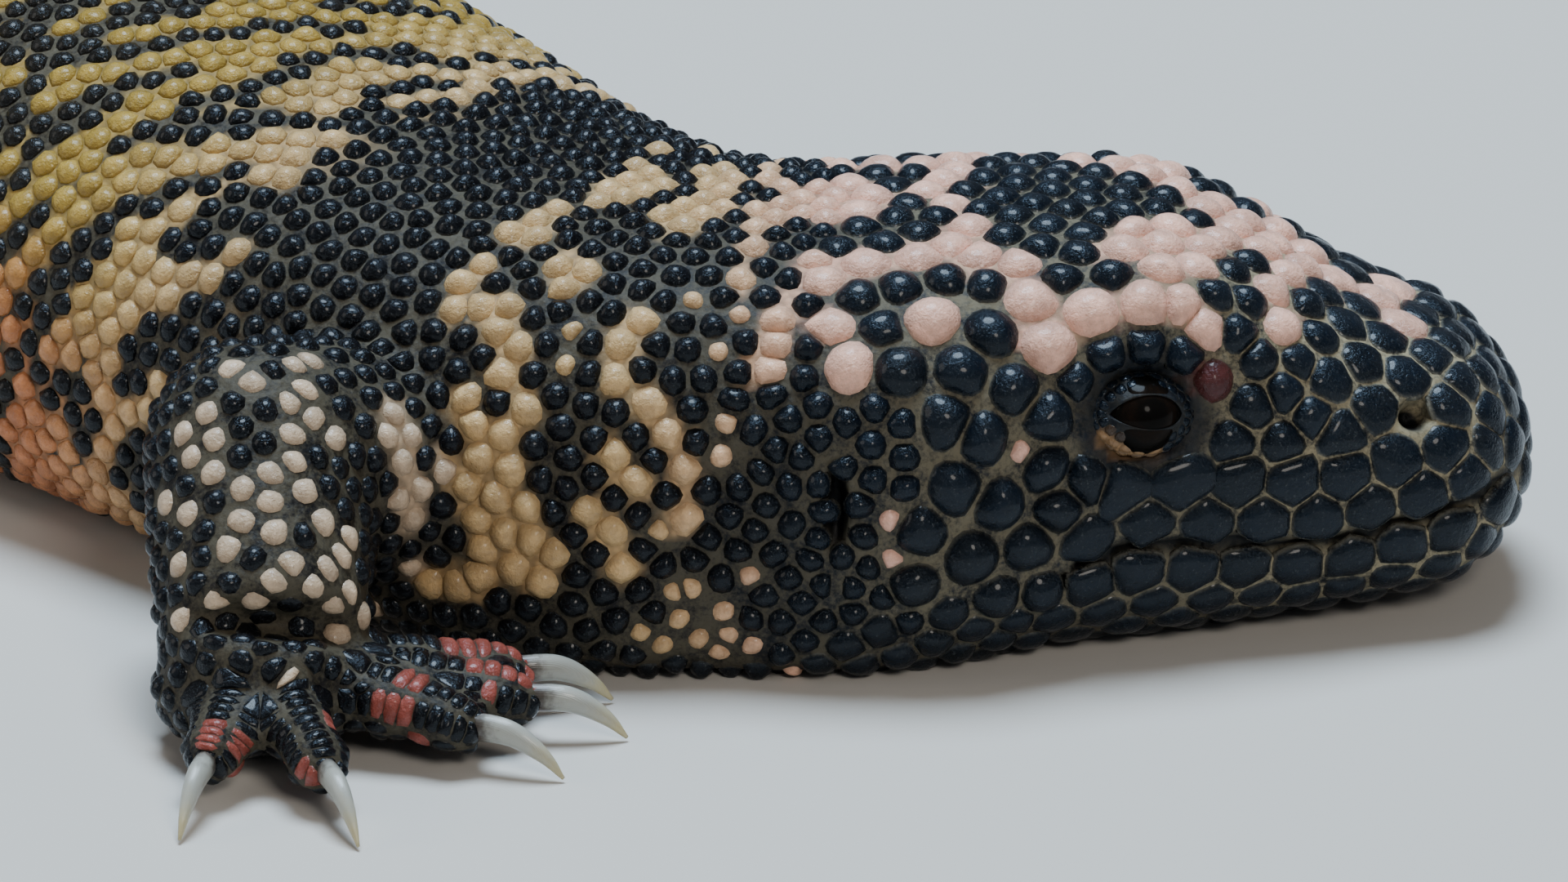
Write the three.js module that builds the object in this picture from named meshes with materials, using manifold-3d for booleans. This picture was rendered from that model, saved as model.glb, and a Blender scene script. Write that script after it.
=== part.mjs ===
// A Gila monster resting on the ground, life size, in millimetres, +Z up.
// The head points along +X, the body bends away to the back left, and the elbows stand up.
import * as THREE from 'three';
import { mergeVertices } from 'three/addons/utils/BufferGeometryUtils.js';
import Module from 'manifold-3d';

const wasm = await Module();
wasm.setup();

// Driving dimensions.
const HEAD_LENGTH = 61;
const HEAD_HALF_WIDTH = 24;
const HEAD_TOP = 34.5;
const NECK_END = 98;
const TORSO_END = 292;
const BODY_LENGTH = 442;
const TORSO_HALF_WIDTH = 37;
const TORSO_TOP = 45;
const TAIL_HALF_WIDTH = 17;
const GAP = 0.3;
const BELLY_SINK = -1.5;
const SNOUT_ROUNDING = 9;
const TAIL_ROUNDING = 12;

const vec = (x, y, z) => new THREE.Vector3(x, y, z);
const radians = THREE.MathUtils.degToRad;

// The spine seen from above, from the snout's tip to the tail's tip.
const spine = new THREE.CatmullRomCurve3([
  vec(63, 26, 0), vec(40, 26, 0), vec(20, 25.5, 0), vec(4, 25, 0), vec(-11, 27.5, 0),
  vec(-26, 37, 0), vec(-44, 56, 0), vec(-71, 86, 0), vec(-101, 115, 0), vec(-136, 142, 0),
  vec(-172, 162, 0), vec(-206, 179, 0), vec(-245, 189, 0), vec(-284, 186, 0), vec(-317, 169, 0),
], false, 'centripetal');
spine.arcLengthDivisions = 800;

// Girth along the spine, in rows of: distance from the snout, half width, top, bottom, height of the
// widest place, and how square the section is above and below it.
const girthKeys = ['s', 'side', 'top', 'bottom', 'widest', 'above', 'below'];
const girth = [
  [0, 15, 22, 3.5, 11, 2.3, 2.4],
  [7, 15, 23, 1.2, 11, 2.5, 2.7],
  [18, 17.5, 28.5, 0, 11.5, 2.7, 3],
  [32, 20.5, HEAD_TOP - 0.5, -1, 12, 2.9, 3.3],
  [50, HEAD_HALF_WIDTH, HEAD_TOP, BELLY_SINK, 13, 2.8, 3.4],
  [HEAD_LENGTH + 2, HEAD_HALF_WIDTH + 1.5, HEAD_TOP, BELLY_SINK, 12, 2.6, 3.2],
  [80, HEAD_HALF_WIDTH + 4.5, HEAD_TOP + 0.5, BELLY_SINK, 12, 2.5, 3.2],
  [NECK_END, 31, 37, BELLY_SINK, 13, 2.4, 3],
  [125, 34, 41.5, BELLY_SINK, 15, 2.2, 3],
  [185, TORSO_HALF_WIDTH, TORSO_TOP, BELLY_SINK, 16, 2.2, 3],
  [240, TORSO_HALF_WIDTH - 3, TORSO_TOP - 2, BELLY_SINK, 16, 2.2, 3],
  [275, 26, 37, BELLY_SINK, 14, 2.2, 2.8],
  [TORSO_END, 20, 32, BELLY_SINK, 13, 2.1, 2.6],
  [325, TAIL_HALF_WIDTH, 28.5, BELLY_SINK, 13, 2.1, 2.5],
  [375, TAIL_HALF_WIDTH - 1.5, 26, BELLY_SINK, 12, 2.1, 2.5],
  [415, 11.5, 19, BELLY_SINK, 9, 2, 2.3],
  [BODY_LENGTH, 8, 13, -0.5, 6, 2, 2.1],
].map((row) => Object.fromEntries(row.map((value, i) => [girthKeys[i], value])));

// A smooth value between the rows of the girth table.
function girthAt(s, key) {
  const last = girth.length - 2;
  let i = 0;
  while (i < last && s > girth[i + 1].s) i += 1;
  const slope = (k) => {
    const a = girth[Math.max(k - 1, 0)];
    const b = girth[Math.min(k + 1, girth.length - 1)];
    return (b[key] - a[key]) / (b.s - a.s);
  };
  const span = girth[i + 1].s - girth[i].s;
  const t = THREE.MathUtils.clamp((s - girth[i].s) / span, 0, 1);
  const t2 = t * t;
  const t3 = t2 * t;
  return (2 * t3 - 3 * t2 + 1) * girth[i][key] + (t3 - 2 * t2 + t) * span * slope(i)
    + (3 * t2 - 2 * t3) * girth[i + 1][key] + (t3 - t2) * span * slope(i + 1);
}

// Soft swellings and dips, the same on both sides: place along the spine, degrees up from the side,
// length, height in degrees, and how far it stands out.
const swellings = [
  { s: 31, up: 52, length: 8, spread: 16, out: 1.3 },
  { s: 33, up: 24, length: 6, spread: 12, out: -1.0 },
  { s: 51, up: 8, length: 9, spread: 34, out: 1.4 },
  { s: 7, up: 62, length: 4, spread: 26, out: 0.9 },
  { s: 15, up: 85, length: 5, spread: 30, out: -0.6 },
  { s: 66, up: 0, length: 4, spread: 45, out: -1.3 },
  { s: 80, up: -35, length: 13, spread: 25, out: 2.2 },
  { s: 62, up: -44, length: 13, spread: 20, out: 2.6 },
];

function swellingAt(s, angle) {
  const upRight = angle > Math.PI / 2 ? Math.PI - angle : angle;
  let out = 0;
  for (const w of swellings) {
    const along = (s - w.s) / w.length;
    const around = (upRight - radians(w.up)) / radians(w.spread);
    out += w.out * Math.exp(-along * along - around * around);
  }
  return out;
}

const power = (x, n) => Math.sign(x) * Math.abs(x) ** (2 / n);

// A point of the body's surface. The angle runs from the animal's right side over its back; the
// bottom is flat where it would pass the ground.
function bodyPoint(s, angle, grow = 0) {
  const at = spine.getPointAt(THREE.MathUtils.clamp(s / BODY_LENGTH, 0, 1));
  const along = spine.getTangentAt(THREE.MathUtils.clamp(s / BODY_LENGTH, 0, 1));
  const right = vec(-along.y, along.x, 0);
  const front = Math.min(s / SNOUT_ROUNDING, 1);
  const back = Math.min((BODY_LENGTH - s) / TAIL_ROUNDING, 1);
  const round = Math.sqrt(Math.max(1 - (1 - front) ** 2.2, 0)) * Math.sqrt(Math.max(1 - (1 - back) ** 2, 0));
  const middle = girthAt(s, 'widest');
  const turn = angle > Math.PI * 1.5 ? angle - Math.PI * 2 : angle;
  const above = Math.sin(turn) >= 0;
  const square = girthAt(s, above ? 'above' : 'below');
  const rise = above ? girthAt(s, 'top') - middle : middle - girthAt(s, 'bottom');
  let across = girthAt(s, 'side') * round * power(Math.cos(turn), square);
  let height = rise * round * power(Math.sin(turn), square);
  const reach = Math.hypot(across, height);
  const out = (swellingAt(s, turn) * round + grow) / Math.max(reach, 1e-6);
  across += across * out;
  height += height * out;
  const lowest = grow > 0 ? -GAP : 0;
  return vec(at.x + right.x * across, at.y + right.y * across, Math.max(middle + height, lowest));
}

// A closed mesh as a solid that can be joined and cut, with its faces turned outwards.
function solid(geometry) {
  const bare = geometry.clone();
  bare.deleteAttribute('normal');
  bare.deleteAttribute('uv');
  const merged = mergeVertices(bare, 1e-4);
  const vertProperties = merged.attributes.position.array;
  const triVerts = new Uint32Array(merged.index.array);
  const made = new wasm.Manifold(new wasm.Mesh({ numProp: 3, vertProperties, triVerts }));
  if (made.volume() > 0) return made;
  return new wasm.Manifold(new wasm.Mesh({ numProp: 3, vertProperties, triVerts: triVerts.reverse() }));
}

// A cylinder whose rings and sides are moved by place(t, angle, radius), with t from 0 to 1.
function shapedCylinder(sides, rings, place) {
  const geometry = new THREE.CylinderGeometry(1, 1, 1, sides, rings);
  const position = geometry.attributes.position;
  for (let i = 0; i < position.count; i += 1) {
    const radius = Math.min(Math.hypot(position.getX(i), position.getZ(i)), 1);
    const step = Math.round(Math.atan2(position.getZ(i), position.getX(i)) / (2 * Math.PI) * sides * 2);
    const angle = ((step / (sides * 2)) * 2 * Math.PI + 2 * Math.PI) % (2 * Math.PI);
    const t = position.getY(i) + 0.5;
    const p = place(Math.round(t * rings) / rings, angle, radius);
    position.setXYZ(i, p.x, p.y, p.z);
  }
  return solid(geometry);
}

// A length of the body between two distances from the snout.
function bodyLength(from, to, sides, rings, grow = 0, endPower = 1) {
  return shapedCylinder(sides, rings, (t, angle, radius) => {
    const s = from + (to - from) * (endPower > 0 ? t ** endPower : 1 - (1 - t) ** -endPower);
    const rim = bodyPoint(s, angle, grow);
    if (radius > 0.5) return rim;
    const a = bodyPoint(s, 0, grow);
    const b = bodyPoint(s, Math.PI, grow);
    return a.add(b).multiplyScalar(0.5);
  });
}

// A tapered round length from one point to another, flattened where it would pass the ground.
function limbLength(points, radii, sides, rings, grow = 0, flatten = 1, floor = 0) {
  const path = new THREE.CatmullRomCurve3(points, false, 'centripetal');
  const radiusAt = (t) => {
    const place = t * (radii.length - 1);
    const i = Math.min(Math.floor(place), radii.length - 2);
    return THREE.MathUtils.lerp(radii[i], radii[i + 1], place - i);
  };
  return shapedCylinder(sides, rings, (t, angle, radius) => {
    const at = path.getPointAt(t);
    const along = path.getTangentAt(t);
    const up = Math.abs(along.z) > 0.8 ? vec(1, 0, 0) : vec(0, 0, 1);
    const across = new THREE.Vector3().crossVectors(along, up).normalize();
    const over = new THREE.Vector3().crossVectors(across, along).normalize();
    const r = radius > 0.5 ? radiusAt(t) + grow : 0;
    const p = at.clone()
      .addScaledVector(across, -r * Math.cos(angle))
      .addScaledVector(over, r * Math.sin(angle) * flatten);
    p.z = Math.max(p.z, floor - grow);
    return p;
  });
}

function ball(centre, radius, wide = 14, high = 10) {
  const geometry = new THREE.SphereGeometry(1, wide, high);
  geometry.rotateX(Math.PI / 2);
  geometry.scale(...(Array.isArray(radius) ? radius : [radius, radius, radius]));
  geometry.translate(centre.x, centre.y, centre.z);
  return solid(geometry);
}

// A thin plate that parts two pieces: its middle, the direction across it, and its half size.
function parting(centre, across, halfSize) {
  const geometry = new THREE.BoxGeometry(GAP, halfSize * 2, halfSize * 2);
  const turn = new THREE.Quaternion().setFromUnitVectors(vec(1, 0, 0), across.clone().normalize());
  geometry.applyQuaternion(turn);
  geometry.translate(centre.x, centre.y, centre.z);
  return solid(geometry);
}

const join = (pieces) => pieces.reduce((a, b) => a.add(b));
const largest = (made) => made.decompose().sort((a, b) => b.volume() - a.volume())[0];

function middleOf(made) {
  const box = made.boundingBox();
  return vec((box.min[0] + box.max[0]) / 2, (box.min[1] + box.max[1]) / 2, (box.min[2] + box.max[2]) / 2);
}

const finishes = {
  skin: { color: 0x221c1e, roughness: 0.45, metalness: 0 },
  eye: { color: 0x050505, roughness: 0.08, metalness: 0 },
  claw: { color: 0xcfc8ad, roughness: 0.35, metalness: 0 },
};
for (const key of Object.keys(finishes)) finishes[key] = new THREE.MeshStandardMaterial(finishes[key]);

const part = new THREE.Group();

function addNode(name, made, finish) {
  const mesh = made.getMesh();
  const geometry = new THREE.BufferGeometry();
  const positions = new Float32Array(mesh.numVert * 3);
  for (let i = 0; i < mesh.numVert; i += 1) {
    for (let k = 0; k < 3; k += 1) positions[i * 3 + k] = mesh.vertProperties[i * mesh.numProp + k];
  }
  geometry.setAttribute('position', new THREE.BufferAttribute(positions, 3));
  geometry.setIndex(new THREE.BufferAttribute(new Uint32Array(mesh.triVerts), 1));
  geometry.computeVertexNormals();
  const node = new THREE.Mesh(geometry, finishes[finish]);
  node.name = name;
  part.add(node);
}

// The head: a solid length of body, with eye sockets, lids, nostrils, ear pits and the mouth line.
const EYE_PLACE = 34;
const EYE_UP = radians(19);
const EYE_RADIUS = 3.4;
const EYE_SINK = 1.6;
const LID_RADIUS = 0.75;
const LID_LIFT = 0.2;
const NOSTRIL_PLACE = 10.5;
const NOSTRIL_UP = radians(32);
const EAR_PLACE = 58;
const EAR_UP = radians(5);
const MOUTH_CORNER = 39;
const MOUTH_HEIGHT = 9.6;
const MOUTH_RISE = 3;

// The outward direction of the body's surface.
function bodyOut(s, angle) {
  const ahead = bodyPoint(s - 0.5, angle);
  const behind = bodyPoint(s + 0.5, angle);
  const below = bodyPoint(s, angle - 0.02);
  const above = bodyPoint(s, angle + 0.02);
  return new THREE.Vector3().crossVectors(ahead.sub(behind), above.sub(below)).normalize();
}

const sideAngle = (side, up) => (side === 'right' ? up : Math.PI - up);

function eyeCentre(side) {
  const angle = sideAngle(side, EYE_UP);
  return bodyPoint(EYE_PLACE, angle).addScaledVector(bodyOut(EYE_PLACE, angle), -EYE_SINK);
}

// The lids are a ring that lies round the eye, longer than it is high.
function lids(side) {
  const out = bodyOut(EYE_PLACE, sideAngle(side, EYE_UP));
  const ring = new THREE.TorusGeometry(EYE_RADIUS + 0.1, LID_RADIUS, 5, 14);
  ring.scale(1.12, 0.86, 1);
  const forward = vec(1, 0, 0).addScaledVector(out, -out.x).normalize();
  const up = new THREE.Vector3().crossVectors(out, forward).normalize();
  if (up.z < 0) up.negate();
  ring.applyMatrix4(new THREE.Matrix4().makeBasis(new THREE.Vector3().crossVectors(up, out), up, out));
  const centre = eyeCentre(side).addScaledVector(out, EYE_SINK + LID_LIFT);
  ring.translate(centre.x, centre.y, centre.z);
  return solid(ring);
}

function pit(side, place, up, size, depth) {
  const angle = sideAngle(side, up);
  const centre = bodyPoint(place, angle).addScaledVector(bodyOut(place, angle), -depth);
  return ball(centre, size, 10, 6);
}

const headWhole = bodyLength(0, HEAD_LENGTH - GAP / 2, 28, 18, 0, 1.45);

// A seeded draw from 0 to 1, for small differences between like scutes.
let seed = 11;
function draw() {
  seed = (seed * 16807) % 2147483647;
  return seed / 2147483647;
}

// A scute is a low five-sided plate that stands on the skin, with its root sunk in.
const SCUTE_ROOT = 1.2;
const SCUTE_RISE = 0.95;
function scute(s, angle, width) {
  const rise = SCUTE_RISE * (0.8 + 0.4 * draw());
  const plate = new THREE.CylinderGeometry(width * 0.28, width * 0.52, rise + SCUTE_ROOT, 5);
  plate.translate(0, (rise - SCUTE_ROOT) / 2, 0);
  plate.rotateY(draw() * Math.PI);
  plate.applyQuaternion(new THREE.Quaternion().setFromUnitVectors(vec(0, 1, 0), bodyOut(s, angle)));
  const at = bodyPoint(s, angle);
  plate.translate(at.x, at.y, at.z);
  return solid(plate);
}

const nearOpening = (s, angle, width) => ['right', 'left'].some((side) => {
  const at = bodyPoint(s, angle);
  const eyeGap = at.distanceTo(eyeCentre(side)) - EYE_RADIUS - LID_RADIUS * 2;
  const earGap = at.distanceTo(bodyPoint(EAR_PLACE, sideAngle(side, EAR_UP))) - 3;
  const nostrilGap = at.distanceTo(bodyPoint(NOSTRIL_PLACE, sideAngle(side, NOSTRIL_UP))) - 1;
  return Math.min(eyeGap, earGap, nostrilGap) < width * 0.5;
});

// A row of scutes over the head, from one side's height to the other's, evenly spaced along the skin.
function scuteRow(s, lowUp, pitch, shift) {
  const steps = 120;
  const upAt = (i) => lowUp + ((180 - 2 * lowUp) * i) / steps;
  const angles = Array.from({ length: steps + 1 }, (_, i) => radians(upAt(i)));
  const ways = [0];
  for (let i = 1; i <= steps; i += 1) {
    ways.push(ways[i - 1] + bodyPoint(s, angles[i]).distanceTo(bodyPoint(s, angles[i - 1])));
  }
  const count = Math.round(ways[steps] / pitch);
  const made = [];
  for (let k = 0; k < count + (shift ? 0 : 1); k += 1) {
    const way = ((k + shift) / count) * ways[steps];
    const i = Math.min(ways.findIndex((w) => w >= way - 1e-6), steps);
    const width = pitch * (0.9 + 0.14 * draw());
    if (!nearOpening(s, angles[i], width)) made.push(scute(s, angles[i], width));
  }
  return made;
}

// The lip plates follow the mouth line, above and below it, on both sides.
function angleAtHeight(s, height) {
  let [low, high] = [radians(-70), radians(70)];
  for (let i = 0; i < 30; i += 1) {
    const middle = (low + high) / 2;
    if (bodyPoint(s, middle).z < height) low = middle;
    else high = middle;
  }
  return low;
}

const SCUTE_PITCH = 6.2;
const SNOUT_PITCH = 5.2;
const LIP_PITCH = 5;
const headScutes = [];
for (let s = 23, row = 0; s < HEAD_LENGTH - 3; s += SCUTE_PITCH * 0.88, row += 1) {
  headScutes.push(...scuteRow(s, s < 42 ? 42 : 4, SCUTE_PITCH, (row % 2) * 0.5));
}
for (let s = 5, row = 0; s < 20; s += SNOUT_PITCH * 0.88, row += 1) {
  headScutes.push(...scuteRow(s, 28, SNOUT_PITCH, (row % 2) * 0.5));
}
for (const side of [1, -1]) {
  for (const [first, lift] of [[4, 3], [6, -3]]) {
    for (let s = first; s < MOUTH_CORNER; s += LIP_PITCH) {
      const height = MOUTH_HEIGHT + MOUTH_RISE * Math.max(1 - s / 16, 0) + lift;
      const up = angleAtHeight(s, height);
      headScutes.push(scute(s, side > 0 ? up : Math.PI - up, LIP_PITCH));
    }
  }
}

let head = join([headWhole, ...headScutes]);
for (const side of ['right', 'left']) {
  head = head.add(lids(side));
  head = head.subtract(ball(eyeCentre(side), EYE_RADIUS + GAP, 12, 6));
  head = head.subtract(pit(side, NOSTRIL_PLACE, NOSTRIL_UP, [1.1, 1.2, 0.7], 0.2));
  head = head.subtract(pit(side, EAR_PLACE, EAR_UP, [1.3, 2.2, 4.2], 0.3));
}

// The mouth line runs back from the snout and then down behind the jaw to the throat.
const mouthLine = new THREE.Shape();
const slit = 0.25;
const snoutX = 70;
const cornerX = 63 - MOUTH_CORNER;
const mouthTop = [
  [snoutX, MOUTH_HEIGHT + MOUTH_RISE + 1], [60, MOUTH_HEIGHT + MOUTH_RISE], [54, MOUTH_HEIGHT + 1],
  [45, MOUTH_HEIGHT - 0.5], [37, MOUTH_HEIGHT + 0.4], [cornerX + 4, MOUTH_HEIGHT + 1.2],
  [cornerX, MOUTH_HEIGHT], [cornerX - 2, MOUTH_HEIGHT - 5], [cornerX - 3, -5],
];
mouthTop.forEach(([x, z], i) => (i ? mouthLine.lineTo(x, z + slit) : mouthLine.moveTo(x, z + slit)));
[...mouthTop].reverse().forEach(([x, z], i) => mouthLine.lineTo(x + (i < 3 ? 2 * slit : 0), z - slit));
const mouthCut = new THREE.ExtrudeGeometry(mouthLine, { depth: 80, bevelEnabled: false });
mouthCut.rotateX(Math.PI / 2);
mouthCut.translate(0, 66, 0);
const headParts = head.subtract(solid(mouthCut)).decompose().sort((a, b) => b.volume() - a.volume());
addNode('head', headParts[0], 'skin');
addNode('lower_jaw', headParts[1], 'skin');
for (const side of ['right', 'left']) addNode(`eye_${side}`, ball(eyeCentre(side), EYE_RADIUS, 12, 6), 'eye');

// The rest of the trunk, parted across the spine, with the same lengths grown by the gap to cut the
// legs back to its surface.
const TAIL_SPLIT = 368;
const trunkLengths = [
  { name: 'neck', from: HEAD_LENGTH, to: NECK_END, sides: 28, rings: 8 },
  { name: 'torso', from: NECK_END, to: TORSO_END, sides: 28, rings: 18 },
  { name: 'tail_base', from: TORSO_END, to: TAIL_SPLIT, sides: 18, rings: 8 },
];
const trunkParts = [headWhole];
for (const { name, from, to, sides, rings } of trunkLengths) {
  addNode(name, bodyLength(from + GAP / 2, to - GAP / 2, sides, rings), 'skin');
  trunkParts.push(bodyLength(from + GAP / 2, to - GAP / 2, sides, rings, GAP));
  trunkParts.push(bodyLength(from - 1, from + 1, sides, 1, GAP));
}
addNode('tail_end', bodyLength(TAIL_SPLIT + GAP / 2, BODY_LENGTH, 18, 9, 0, -1.6), 'skin');
const trunkGrown = join(trunkParts);

// Legs: shoulder or hip inside the trunk, the bend, the ankle, and the middle of the sole.
const limbs = [
  {
    name: 'right', upper: 'upper_arm', lower: 'forearm', end: 'hand',
    root: vec(-24, 20, 11), bend: vec(-43, 4.5, 19.5), ankle: vec(-42, -8, 8.5), sole: vec(-42.5, -9.5, 4.5),
    radii: [12, 9.6, 9.4, 8.9], heading: -50, width: 3.1,
    digits: [64, 49, 31, -17, -54], reach: [22.5, 23, 19.5, 16.5, 14],
  },
  {
    name: 'left', upper: 'upper_arm', lower: 'forearm', end: 'hand',
    root: vec(-22, 54, 11), bend: vec(0, 68, 12.5), ankle: vec(15, 73, 8.5), sole: vec(18, 74, 4.5),
    radii: [12, 9, 8.6, 8], heading: 15, width: 3,
    digits: [-52, -26, 0, 24, 52], reach: [16, 19, 20, 20, 17],
  },
  {
    name: 'right', upper: 'thigh', lower: 'shin', end: 'foot',
    root: vec(-163, 142, 14), bend: vec(-160, 108, 18), ankle: vec(-180, 94, 9), sole: vec(-183, 89, 4.5),
    radii: [13, 10.5, 9, 8.2], heading: -70, width: 2.9,
    digits: [52, 27, 2, -24, -54], reach: [15, 19, 21, 22, 18],
  },
  {
    name: 'left', upper: 'thigh', lower: 'shin', end: 'foot',
    root: vec(-172, 176, 14), bend: vec(-155, 205, 18), ankle: vec(-172, 222, 9), sole: vec(-173, 227, 4.5),
    radii: [13, 10.5, 9, 8.2], heading: 70, width: 2.9,
    digits: [-52, -27, -2, 24, 54], reach: [15, 19, 21, 22, 18],
  },
];

const CLAW_LENGTH = 8;
const CLAW_RADIUS = 1.15;
const CLAW_TAPER = [1, 0.95, 0.7, 0.26];
const DIGIT_TAPER = [1.25, 1.1, 1.02, 1, 0.62];
const BEND_TAPER = 0.96;
const SOLE_SIZE = [8.6, 8.6, 4.5];

// One digit, from the sole out to its tip, as the points of its middle line.
function digitPoints(limb, i) {
  const turn = radians(limb.heading + limb.digits[i]);
  const reach = limb.reach[i];
  const out = (r, z) => vec(limb.sole.x + Math.cos(turn) * r, limb.sole.y + Math.sin(turn) * r, z);
  return [out(3, 4.6), out(reach * 0.45, 5), out(reach * 0.75, 4.4), out(reach, 3.1)];
}

// A claw leaves the digit's tip forwards, bends down, and ends on the ground.
function clawSolid(limb, i) {
  const turn = radians(limb.heading + limb.digits[i]);
  const reach = limb.reach[i] - 1.2;
  const out = (r, z) => vec(limb.sole.x + Math.cos(turn) * r, limb.sole.y + Math.sin(turn) * r, z);
  const points = [
    out(reach, 3.9), out(reach + CLAW_LENGTH * 0.45, 3.6), out(reach + CLAW_LENGTH * 0.8, 2),
    out(reach + CLAW_LENGTH, 0.35),
  ];
  return limbLength(points, CLAW_TAPER.map((k) => CLAW_RADIUS * k), 6, 3);
}

for (const limb of limbs) {
  const [r0, r1, r2, r3] = limb.radii;
  const halfway = (a, b) => a.clone().lerp(b, 0.5);
  const upperLine = [limb.root, halfway(limb.root, limb.bend), limb.bend];
  const lowerLine = [limb.bend, halfway(limb.bend, limb.ankle), limb.ankle];
  const soleLine = [limb.ankle, halfway(limb.ankle, limb.sole), limb.sole];
  const pieces = [
    limbLength(upperLine, [r0, (r0 + r1) / 2, r1 * BEND_TAPER], 12, 2),
    ball(limb.bend, r1, 12, 6),
    limbLength(lowerLine, [r1 * BEND_TAPER, r2, r3], 12, 2),
    limbLength(soleLine, [r3, r3, r3 * 0.85], 12, 2),
    ball(limb.sole, SOLE_SIZE, 12, 6),
  ];
  const grown = [];
  for (let i = 0; i < 5; i += 1) {
    const points = digitPoints(limb, i);
    const radii = DIGIT_TAPER.map((k) => limb.width * k);
    pieces.push(limbLength(points, radii, 7, 4));
    grown.push(limbLength(points, radii, 7, 4, GAP));
  }
  const floorBox = new THREE.BoxGeometry(120, 120, 40);
  floorBox.translate(limb.sole.x, limb.sole.y, -20);
  let whole = join(pieces).subtract(solid(floorBox)).subtract(trunkGrown);
  whole = largest(whole);
  const upperWay = limb.bend.clone().sub(limb.root).normalize();
  const lowerWay = limb.ankle.clone().sub(limb.bend).normalize();
  const soleWay = limb.sole.clone().sub(limb.ankle).normalize();
  const wrist = limb.ankle.clone().addScaledVector(lowerWay, -1);
  whole = whole.subtract(parting(limb.bend, upperWay.clone().add(lowerWay), r1 + 6));
  whole = whole.subtract(parting(wrist, lowerWay.clone().add(soleWay), r3 + 6));
  const found = whole.decompose().filter((p) => p.volume() > 20);
  const goals = {
    [limb.upper]: limb.root.clone().lerp(limb.bend, 0.6),
    [limb.lower]: limb.bend.clone().lerp(limb.ankle, 0.5),
    [limb.end]: limb.sole,
  };
  for (const [piece, goal] of Object.entries(goals)) {
    found.sort((a, b) => middleOf(a).distanceTo(goal) - middleOf(b).distanceTo(goal));
    addNode(`${limb.name}_${piece}`, found.shift(), 'skin');
  }
  const sheath = join(grown);
  for (let i = 0; i < 5; i += 1) {
    addNode(`${limb.name}_${limb.end}_claw_${i + 1}`, largest(clawSolid(limb, i).subtract(sheath)), 'claw');
  }
}

// The origin goes to the middle of the model's box, on the ground.
part.updateMatrixWorld(true);
const whole = new THREE.Box3().setFromObject(part);
const toOrigin = vec(-(whole.min.x + whole.max.x) / 2, -(whole.min.y + whole.max.y) / 2, -whole.min.z);
for (const mesh of part.children) mesh.geometry.translate(toOrigin.x, toOrigin.y, toOrigin.z);

export default part;
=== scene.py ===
"""A Gila monster resting on the ground: one skin, a coat of scales, lids, eyes and claws, life size."""

import logging
import math
from dataclasses import dataclass
from enum import Enum
from typing import Callable, Sequence

import bpy
import numpy as np
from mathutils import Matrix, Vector, noise
from mathutils.bvhtree import BVHTree
from mathutils.kdtree import KDTree

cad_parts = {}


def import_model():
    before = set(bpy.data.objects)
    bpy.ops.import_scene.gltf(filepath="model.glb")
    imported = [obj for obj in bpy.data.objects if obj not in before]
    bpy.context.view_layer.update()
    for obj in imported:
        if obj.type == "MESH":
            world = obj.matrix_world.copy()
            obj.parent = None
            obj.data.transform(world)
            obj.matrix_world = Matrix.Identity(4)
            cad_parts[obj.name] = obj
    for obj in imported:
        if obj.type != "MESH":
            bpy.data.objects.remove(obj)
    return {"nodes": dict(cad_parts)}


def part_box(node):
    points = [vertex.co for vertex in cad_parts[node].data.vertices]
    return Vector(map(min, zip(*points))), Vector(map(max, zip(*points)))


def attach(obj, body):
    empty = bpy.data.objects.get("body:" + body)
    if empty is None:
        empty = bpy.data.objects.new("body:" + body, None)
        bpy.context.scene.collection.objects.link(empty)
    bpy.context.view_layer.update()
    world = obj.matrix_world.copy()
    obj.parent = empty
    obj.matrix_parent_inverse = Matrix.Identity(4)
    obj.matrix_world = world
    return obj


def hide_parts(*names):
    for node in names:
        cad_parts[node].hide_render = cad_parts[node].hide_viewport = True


MM = 0.001
SEED = 2026
FULL_TURN = 2 * math.pi
SIDES = ("right", "left")
log = logging.getLogger("gila")

Array = np.ndarray
Colour = tuple[float, float, float]
Place = Callable[[Array, Array], Array]


def unit(v: Array) -> Array:
    """Returns the vectors of the last axis at length one."""
    return v / np.maximum(np.linalg.norm(v, axis=-1, keepdims=True), 1e-12)


def smoothstep(x: Array, low: float, high: float) -> Array:
    """Returns a soft step from 0 at low to 1 at high, where high may be less than low."""
    t = np.clip((x - low) / (high - low), 0.0, 1.0)
    return t * t * (3 - 2 * t)


def noise_at(points: Array, scale: float, shift: float = 0.0) -> Array:
    """Returns smooth noise from about -1 to 1 at places in millimetres, with lumps of the given scale."""
    move = Vector((shift, shift * 1.7, -shift))
    return np.array([noise.noise(Vector(p) / scale + move) for p in np.asarray(points).tolist()])


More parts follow.
